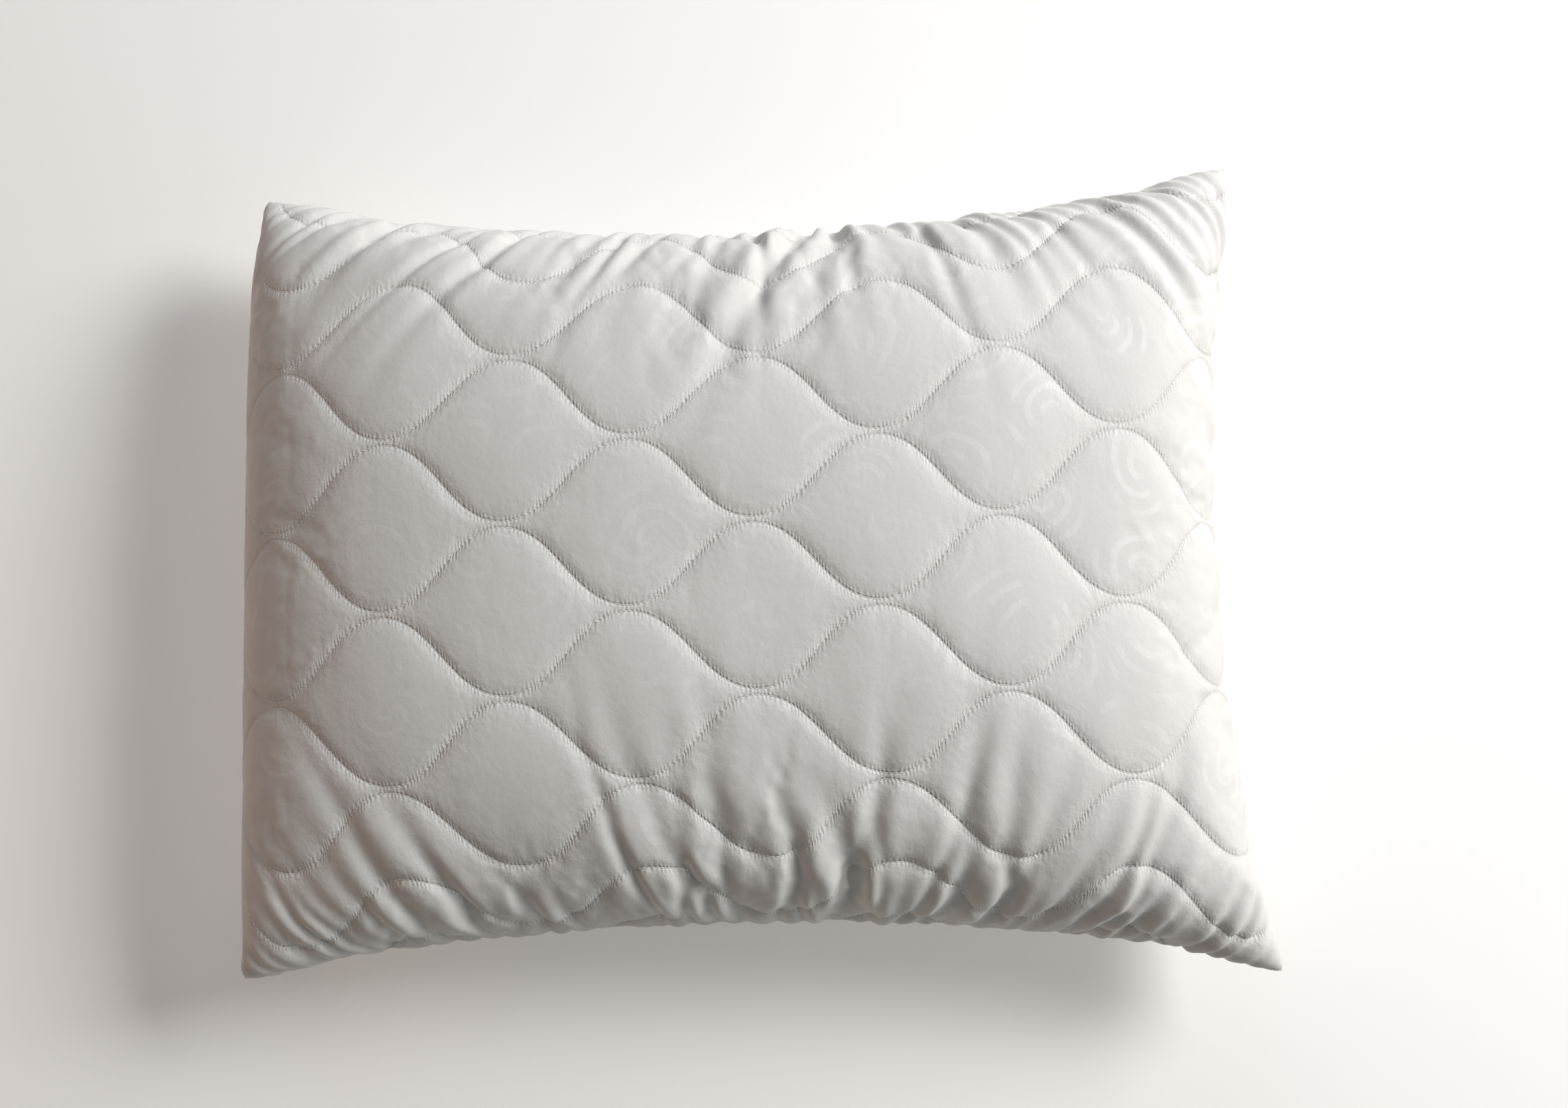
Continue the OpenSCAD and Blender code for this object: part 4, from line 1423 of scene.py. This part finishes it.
@dataclass
class SideSeam:
    """The seam that joins both panels, the bound edge inside it, and the care label caught in it.

    Attributes:
        surfaces: the cover's faces.
        finishes: the finishes.
        cloth: the flat panel.
        zip_gap_end: where the seam ends beside the zip, measured from the middle of that side.
        thread_depth: how far inside the edge the thread lies.
        stitch_pitch: distance between its stitches.
        stitch: length and radius of a stitch.
        bound_pitch: distance between the turns of the overlock.
        bound_wave: how much they stand out.
        bound_depth: how far inside the edge the bound edge starts.
        bound_width: its width.
        bound_thick: its thickness.
        label_width: the label's width.
        label_drop: how far the folded label hangs.
        label_curl: how far its end stands off the panel.
        label_clear: how far it stands off the gathers.
        label_caught: how much of each end of the label is caught in the seam.
        label_at: its place along the back edge.
        label_columns: cells across the label.
        label_rows: cells along the label.
    """

    surfaces: dict[Side, CoverSurface]
    finishes: Finishes
    cloth: PanelCloth = PanelCloth()
    zip_gap_end: float = 219.0
    thread_depth: float = 2.6
    stitch_pitch: float = 3.0
    stitch: tuple[float, float] = (2.7, 0.45)
    bound_pitch: float = 2.5
    bound_wave: float = 0.18
    bound_depth: float = 5.6
    bound_width: float = 3.0
    bound_thick: float = 1.6
    label_width: float = 24.0
    label_drop: float = 37.0
    label_curl: float = 3.4
    label_clear: float = 1.7
    label_caught: float = 3.0
    label_at: float = -166.0
    label_columns: int = 12
    label_rows: int = 44

    def rim(self, spacing: float) -> tuple[np.ndarray, np.ndarray]:
        """Points and outward directions round the seam, from the zip's back end to its front end."""
        half_u, half_v = self.cloth.length / 2, self.cloth.width / 2
        corners = [
            (-half_u, self.zip_gap_end), (-half_u, half_v), (half_u, half_v),
            (half_u, -half_v), (-half_u, -half_v), (-half_u, -self.zip_gap_end),
        ]
        u, v = along_path(corners, spacing, True)
        out = read_seam(self.surfaces, "normal", u, v)
        out[:, 2] = 0.0
        return read_seam(self.surfaces, "face", u, v), out / np.linalg.norm(out, axis=1, keepdims=True)

    def build(self) -> None:
        """Builds the seam's pieces."""
        points, out = self.rim(self.stitch_pitch)
        ahead = np.gradient(points, axis=0)
        places = points - out * self.thread_depth
        mesh = repeat_shape("seam", stitch_shape(*self.stitch), places, ahead, out)
        settle(add_piece("side_seam_stitches", mesh, self.finishes.thread), "thread", "side_seam_thread")
        settle(self._bound_edge(), "thread", "bound_seam_edge")
        label = settle(self._label(), "label", "care_label")

    def _bound_edge(self) -> bpy.types.Object:
        """The overlocked edge of both panels: a band with a thread wave along it."""
        points, out = self.rim(self.bound_pitch)
        mesh, where = Lattice(len(points) - 1, 2).thicken().finish("bound")
        i, row, layer = where.T
        depth = self.bound_depth + self.bound_width * row / 2
        place = points[i] - out[i] * depth[:, None]
        wave = self.bound_wave * np.cos(math.pi * i)
        place[:, 2] += (0.5 - layer) * (self.bound_thick * np.where(row == 1, 1.0, 0.7) + wave)
        shape_mesh(mesh, place)
        right_way_out(mesh)
        return add_piece("overlocked_edge", mesh, self.finishes.thread)

    def _label(self) -> bpy.types.Object:
        """A blank satin label, folded in two, which hangs from the back seam and curls a little."""
        top = self.surfaces[Side.TOP]
        u = self.label_at + np.linspace(-0.5, 0.5, 13) * self.label_width
        v = np.full_like(u, self.cloth.width / 2)
        seam = read_seam(self.surfaces, "face", u, v)
        middle = seam[6]
        along = seam[-1] - seam[0]
        along[2] = 0.0
        along /= np.linalg.norm(along)
        out = np.array([-along[1], along[0], 0.0])
        if out @ top.read(top.normal, u[6:7], v[6:7])[0] < 0:
            out = -out
        mesh, where = Lattice(self.label_columns, self.label_rows).finish("label")
        across = (where[:, 0] / self.label_columns - 0.5) * self.label_width
        long = 2 * self.label_drop + 2 * self.label_caught
        way = where[:, 1] / self.label_rows * long - self.label_caught
        front = way < self.label_drop
        down = np.where(front, way, 2 * self.label_drop - way)
        hung = np.clip(down, 0.0, None)
        round_fold = np.sqrt(1.0 - (1.0 - np.clip((self.label_drop - down) / 4.0, 0.0, 1.0)) ** 2)
        apart = np.where(front, 0.9, -0.9) * round_fold * np.clip(down / 6.0, 0.15, 1.0)
        curl = self.label_curl * (hung / self.label_drop) ** 1.6 + 0.5 * np.sin(across / 6.0 + down / 9.0)
        clear = self.label_clear * np.clip(down / self.label_caught, 0.0, 1.0)
        stand = apart + curl + clear + np.minimum(down, 0.0)
        place = middle + along * across[:, None] + out * stand[:, None]
        place[:, 2] = middle[2] - hung
        shape_mesh(mesh, place)
        return add_piece("blank_care_label", mesh, self.finishes.satin)


# ---------------------------------------------------------------- the zip


@dataclass
class Zip:
    """The zip in the short side: woven tapes, coil rows, bar tacks, stitching, slider and pull.

    Attributes:
        finishes: the finishes.
        coil_pitch: distance between turns of the coil.
        turn_steps: steps in which a turn is wound.
        wire: radius of the coil's wire.
        middle_gap: how far each coil row stays from the middle.
        stitch_pitch: distance between the stitches through the tapes.
        stitch: length and radius of a stitch.
        seam_z: height of the zip's middle.
        tack_length: length of a bar tack.
        tack_threads: number of threads in a bar tack.
    """

    finishes: Finishes
    coil_pitch: float = 1.5
    turn_steps: int = 10
    wire: float = 0.3
    middle_gap: float = 0.36
    stitch_pitch: float = 2.8
    stitch: tuple[float, float] = (2.5, 0.36)
    seam_z: float = PillowForm.seam_z
    tack_length: float = 3.0
    tack_threads: int = 7

    def build(self) -> None:
        """Builds the zip's pieces, each where its CAD node lies."""
        for word in ("upper", "lower"):
            tape = settle(self._tape(word), "zip_tape", f"zip_tape_{word}")
            settle(self._coil(word), "zip_coil", f"zip_coil_{word}")
        settle(self._tacks(), "thread", "zip_end_tacks")
        settle(self._stitching(), "thread", "zip_stitching")
        for node in ("zip_slider", "zip_pull"):
            for spot in bpy.data.objects[node].material_slots:
                spot.material = self.finishes.metal

    def _box(self, node: str) -> tuple[np.ndarray, np.ndarray]:
        """A CAD node's lowest and highest corners, in millimetres."""
        low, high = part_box(node)
        return np.array(low) / MM, np.array(high) / MM

    def _tape(self, word: str) -> bpy.types.Object:
        """One woven tape with ribs along it and a beaded edge beside the coil."""
        low, high = self._box(f"zip_tape_{word}")
        columns, rows = 200, 24
        mesh, where = Lattice(columns, rows).thicken().finish("tape")
        y = low[1] + (high[1] - low[1]) * where[:, 0] / columns
        across = where[:, 1] / rows
        z = low[2] + (high[2] - low[2]) * across
        from_coil = across if word == "upper" else 1.0 - across
        rib = 0.05 * np.cos(where[:, 1] * math.pi) + 0.07 * np.exp(-((from_coil - 0.06) ** 2) / 0.003)
        ripple = 0.06 * np.sin(y / 13.0) * np.clip(from_coil * 2.0, 0.0, 1.0)
        middle, half = (low[0] + high[0]) / 2, (high[0] - low[0]) / 2 - 0.06
        x = middle + ripple + np.where(where[:, 2] == 0, -1.0, 1.0) * (half + rib * 0.5)
        shape_mesh(mesh, np.stack([x, y, z], axis=-1))
        right_way_out(mesh)
        return add_piece(f"zip_woven_tape_{word}", mesh, self.finishes.tape)

    def _coil(self, word: str) -> bpy.types.Object:
        """One row of coil teeth: a wire wound round its core, flattened towards the other row."""
        low, high = self._box(f"zip_coil_{word}")
        way = 1.0 if word == "upper" else -1.0
        outer, inner = max(abs(low[2] - self.seam_z), abs(high[2] - self.seam_z)), self.middle_gap
        radius = (high[0] - low[0]) / 2
        turns = int((high[1] - low[1] - 2 * self.wire) / self.coil_pitch)
        turn = bmesh.new()
        made = bmesh.ops.create_circle(turn, cap_ends=False, segments=4, radius=self.wire)
        for vert in made["verts"]:
            vert.co = (radius - self.wire + vert.co.x, vert.co.y, 0.0)
        bmesh.ops.spin(
            turn,
            geom=turn.verts[:] + turn.edges[:],
            cent=(0, 0, 0),
            axis=(0, 1, 0),
            dvec=(0, self.coil_pitch / self.turn_steps, 0),
            angle=2 * math.pi,
            steps=self.turn_steps,
            use_merge=False,
        )
        bmesh.ops.recalc_face_normals(turn, faces=turn.faces[:])
        for vert in turn.verts:
            vert.co.z *= (outer - inner) / 2 / radius
        start = low[1] + self.wire + (0.0 if way > 0 else self.coil_pitch / 2)
        y = start + self.coil_pitch * np.arange(turns - 1)
        x, z = (low[0] + high[0]) / 2, self.seam_z + way * (outer + inner) / 2
        places = np.stack([np.full_like(y, x), y, np.full_like(y, z)], axis=-1)
        mesh = repeat_shape("coil", turn, places, (1.0, 0.0, 0.0), (0.0, 0.0, 1.0))
        return add_piece(f"zip_coil_teeth_{word}", mesh, self.finishes.nylon)

    def _tacks(self) -> bpy.types.Object:
        """The bar tack at each end: threads laid side by side over both coil rows."""
        low, high = self._box("zip_end_tacks")
        middle, half = (low + high) / 2, (high - low) / 2
        apart = self.tack_length / self.tack_threads
        y = np.concatenate(
            [
                start + self.tack_length * (np.arange(self.tack_threads) + 0.5) / self.tack_threads
                for start in (low[1], high[1] - self.tack_length)
            ]
        )
        places = np.stack([np.full_like(y, middle[0]), y, np.full_like(y, middle[2])], axis=-1)
        shape = bmesh.new()
        bmesh.ops.create_cone(shape, cap_ends=True, segments=8, radius1=0.5, radius2=0.5, depth=1.0)
        for vert in shape.verts:
            x, y, z = vert.co
            vert.co = (z * 2 * half[2], y * apart * 1.04, x * 2 * half[0] * 0.98)
        rim = [edge for edge in shape.edges if abs(edge.verts[0].co.x - edge.verts[1].co.x) < 1e-6]
        bmesh.ops.bevel(
            shape, geom=rim, offset=0.3, segments=2, profile=0.5, affect="EDGES", clamp_overlap=True
        )
        mesh = repeat_shape("tacks", shape, places, (0.0, 0.0, 1.0), (-1.0, 0.0, 0.0))
        return add_piece("zip_bar_tack_threads", mesh, self.finishes.thread)

    def _stitching(self) -> bpy.types.Object:
        """The stitches that hold each tape to its panel."""
        low, high = self._box("zip_stitching")
        y = np.arange(low[1] + 2.0, high[1] - 1.0, self.stitch_pitch)
        z, y = (grid.ravel() for grid in np.meshgrid((low[2] + 0.4, high[2] - 0.4), y, indexing="ij"))
        places = np.stack([np.full_like(y, (low[0] + high[0]) / 2), y, z], axis=-1)
        stitch = stitch_shape(*self.stitch)
        mesh = repeat_shape("tape_stitches", stitch, places, (0.0, 1.0, 0.0), (-1.0, 0.0, 0.0))
        return add_piece("zip_tape_stitches", mesh, self.finishes.thread)


# ---------------------------------------------------------------- the inner pillow


@dataclass
class InnerPillow:
    """The inner pillow: a sewn cotton case and the fibre fill inside it.

    Attributes:
        surfaces: the cover's faces.
        finishes: the finishes.
        cloth: the cover's flat panel.
        case_depth: how deep the case lies under the cover's form.
        case_thick: thickness of the case.
        fill_depth: how deep the fill lies.
        under_cover: the least distance of the case from the cover's face.
        columns: cells of the nets along the pillow.
        rows: cells across it.
        stitch_pitch: distance between the stitches that close the case.
        stitch: length and radius of a stitch.
        flat: the case's width and length as cut, in metres. Not used.
    """

    surfaces: dict[Side, CoverSurface]
    finishes: Finishes
    cloth: PanelCloth = PanelCloth()
    case_depth: float = 13.0
    case_thick: float = 0.4
    fill_depth: float = 14.2
    under_cover: float = 7.0
    columns: int = 116
    rows: int = 83
    stitch_pitch: float = 3.6
    stitch: tuple[float, float] = (2.6, 0.4)
    flat: tuple[float, float] = (0.48, 0.67)

    def build(self) -> None:
        """Builds the case, its closing stitches and the fill."""
        fill = settle(self._fill(), "fill", "fibre_fill")
        for side in Side:
            word = side.word
            mesh, where = Lattice(self.columns, self.rows).thicken().finish("case")
            depth = self.case_depth + self.case_thick * where[:, 2]
            shape_mesh(mesh, self._points(where, side, depth))
            right_way_out(mesh)
            cloth = add_piece(f"inner_case_{word}_cloth", mesh, self.finishes.cotton)
            case = settle(cloth, "inner_case", f"inner_case_{word}")
        settle(self._thread(), "thread", "inner_case_thread")

    def _points(self, where: np.ndarray, side: Side, depth: np.ndarray) -> np.ndarray:
        """Points of the closed inner pillow, for corners of a net and a depth at each."""
        surface = self.surfaces[side]
        u = (where[:, 0] / self.columns - 0.5) * self.cloth.length
        v = (where[:, 1] / self.rows - 0.5) * self.cloth.width
        inside = surface.layer(u, v, 0.0, 0.0, self.under_cover)
        out = surface.read(surface.normal, u, v)
        return inside - out * (depth - self.under_cover)[:, None] - self._slot(surface, u, v)

    def _slot(self, surface: CoverSurface, u: np.ndarray, v: np.ndarray) -> np.ndarray:
        """How far the cover's slot for the zip lifts it off the closed inner pillow."""
        form = self.cloth.form
        run = np.clip(1.0 - (u - u.min()) / (form.slot_run_out * self.cloth.length / 2), 0.0, 1.0)
        lift = form.zip_slot * form.slot_share(2.0 * v / self.cloth.width) * run
        return np.stack([np.zeros_like(u), np.zeros_like(u), surface.side.value * lift], axis=-1)

    def _fill(self) -> bpy.types.Object:
        """The fibre fill: one closed lump, a little uneven."""
        mesh, where = Lattice(self.columns, self.rows).sew_back().finish("fill")
        lumps = np.random.default_rng(8).uniform(0.0, 1.0, len(where)) * (where[:, 2] != 0)
        depth = self.fill_depth + lumps
        back, top = (self._points(where, side, depth) for side in (Side.BACK, Side.TOP))
        shape_mesh(mesh, np.where((where[:, 2] < 0)[:, None], back, top))
        right_way_out(mesh)
        return add_piece("fibre_fill_mass", mesh, self.finishes.fleece)

    def _thread(self) -> bpy.types.Object:
        """The stitches that close the case all round."""
        half_u, half_v = self.cloth.length / 2, self.cloth.width / 2
        ways = ((-1, -1), (1, -1), (1, 1), (-1, 1), (-1, -1))
        u, v = along_path([(half_u * a, half_v * b) for a, b in ways], self.stitch_pitch, False)
        column = (u / self.cloth.length + 0.5) * self.columns
        where = np.stack([column, (v / self.cloth.width + 0.5) * self.rows], axis=-1)
        path = self._points(where, Side.TOP, np.full(len(u), self.case_depth))
        ahead = np.roll(path, -1, axis=0) - np.roll(path, 1, axis=0)
        out = np.cross(ahead, [0.0, 0.0, 1.0])
        mesh = repeat_shape("case_stitches", stitch_shape(*self.stitch), path, ahead, out)
        return add_piece("inner_case_stitches", mesh, self.finishes.thread)


# ---------------------------------------------------------------- the studio


@dataclass(frozen=True)
class SoftLight:
    """A large soft light.

    Attributes:
        name: the light's name.
        place: where it stands, in metres.
        size: its breadth and height, in metres.
        power: its power, in watts.
        colour: its colour.
        shadow: whether it casts shadows.
        aim: the point it faces.
    """

    name: str
    place: tuple[float, float, float]
    size: tuple[float, float]
    power: float
    colour: tuple[float, float, float] = (1.0, 1.0, 1.0)
    shadow: bool = True
    aim: tuple[float, float, float] = (0.0, 0.0, 0.08)

    def build(self) -> None:
        """Adds the light."""
        data = bpy.data.lights.new(self.name, "AREA")
        data.shape = "RECTANGLE"
        data.size, data.size_y = self.size
        data.energy = self.power
        data.color = self.colour
        data.use_shadow = self.shadow
        light = bpy.data.objects.new(self.name, data)
        light.location = self.place
        light.rotation_euler = (Vector(self.aim) - Vector(self.place)).to_track_quat("-Z", "Y").to_euler()
        bpy.context.scene.collection.objects.link(light)


@dataclass(frozen=True)
class Studio:
    """A pale floor with pale walls, soft daylight from the right and the back, and the camera overhead.

    Attributes:
        lights: the lights.
        world: colour of the light from all round.
        world_strength: its strength.
        floor: colour of the floor and the walls.
        floor_half: half the floor's breadth.
        wall_height: height of the walls.
        wall_lean: how much wider the walls stand at their top than at the floor.
        camera_place: where the camera stands.
        camera_aim: the point it faces.
        camera_roll: how far it is rolled, in degrees.
        lens: its focal length in millimetres.
    """

    lights: tuple[SoftLight, ...] = (
        SoftLight("window", (2.45, 1.15, 1.95), (1.6, 1.3), 104.0, (1.0, 0.995, 0.985)),
        SoftLight("window_fill", (2.45, 1.25, 1.9), (1.6, 1.3), 53.0, (1.0, 0.995, 0.985), shadow=False),
        SoftLight("back_sky", (-0.6, 3.2, 2.0), (2.6, 1.4), 14.5, (0.62, 0.78, 1.0)),
        SoftLight("ceiling", (0.3, 0.3, 3.4), (2.4, 2.4), 8.5, (1.0, 1.0, 1.0)),
        SoftLight("warm_room", (-1.8, -0.2, 0.4), (1.2, 0.9), 4.4, (1.0, 0.48, 0.20)),
    )
    world: tuple[float, float, float] = (0.95, 0.90, 0.84)
    world_strength: float = 0.03
    floor: tuple[float, float, float] = (0.88, 0.87, 0.85)
    floor_half: float = 4.2
    wall_height: float = 3.2
    wall_lean: float = 1.3
    camera_place: tuple[float, float, float] = (0.0094, -0.1799, 1.3837)
    camera_aim: tuple[float, float, float] = (0.0215, -0.0055, 0.14)
    camera_roll: float = -1.335
    lens: float = 50.0

    def build(self) -> None:
        """Builds the floor, the lights and the camera."""
        bm = bmesh.new()
        bmesh.ops.create_grid(bm, x_segments=1, y_segments=1, size=self.floor_half)
        for vert in corners_of(bmesh.ops.extrude_edge_only(bm, edges=bm.edges[:])):
            vert.co = (vert.co.x * self.wall_lean, vert.co.y * self.wall_lean, self.wall_height)
        mesh = bpy.data.meshes.new("floor")
        bm.to_mesh(mesh)
        bm.free()
        material, _, shader = blank_material("pale_floor")
        shader.inputs["Base Color"].default_value = (*self.floor, 1.0)
        shader.inputs["Roughness"].default_value = 0.9
        add_piece("floor", mesh, material, smooth=False)
        for light in self.lights:
            light.build()
        world = bpy.data.worlds.new("pale_room")
        world.use_nodes = True
        sky = world.node_tree.nodes["Background"]
        sky.inputs["Color"].default_value = (*self.world, 1.0)
        sky.inputs["Strength"].default_value = self.world_strength
        bpy.context.scene.world = world
        bpy.context.scene.view_settings.view_transform = "Standard"
        self._camera()

    def _camera(self) -> None:
        """Adds the camera."""
        data = bpy.data.cameras.new("camera")
        data.lens = self.lens
        camera = bpy.data.objects.new("camera", data)
        place, aim = Vector(self.camera_place), Vector(self.camera_aim)
        back = (place - aim).normalized()
        right = Vector((0.0, 1.0, 0.0)).cross(back).normalized()
        turn = Matrix((right, back.cross(right), back)).transposed().to_quaternion()
        camera.location = place
        camera.rotation_mode = "QUATERNION"
        camera.rotation_quaternion = turn @ Quaternion((0.0, 0.0, 1.0), math.radians(self.camera_roll))
        bpy.context.scene.collection.objects.link(camera)
        bpy.context.scene.camera = camera


def main() -> None:
    """Builds the studio and then the pillow, from its cover to its fill."""
    logging.basicConfig(level=logging.INFO, format="%(name)s: %(message)s")
    Studio().build()
    finishes = Finishes()
    shape = CoverShape()
    surfaces = shape.surfaces()
    for surface in surfaces.values():
        QuiltedPanel(surface, shape, finishes).build()
    SideSeam(surfaces, finishes).build()
    Zip(finishes).build()
    InnerPillow(surfaces, finishes).build()


if __name__ == "__main__":
    main()
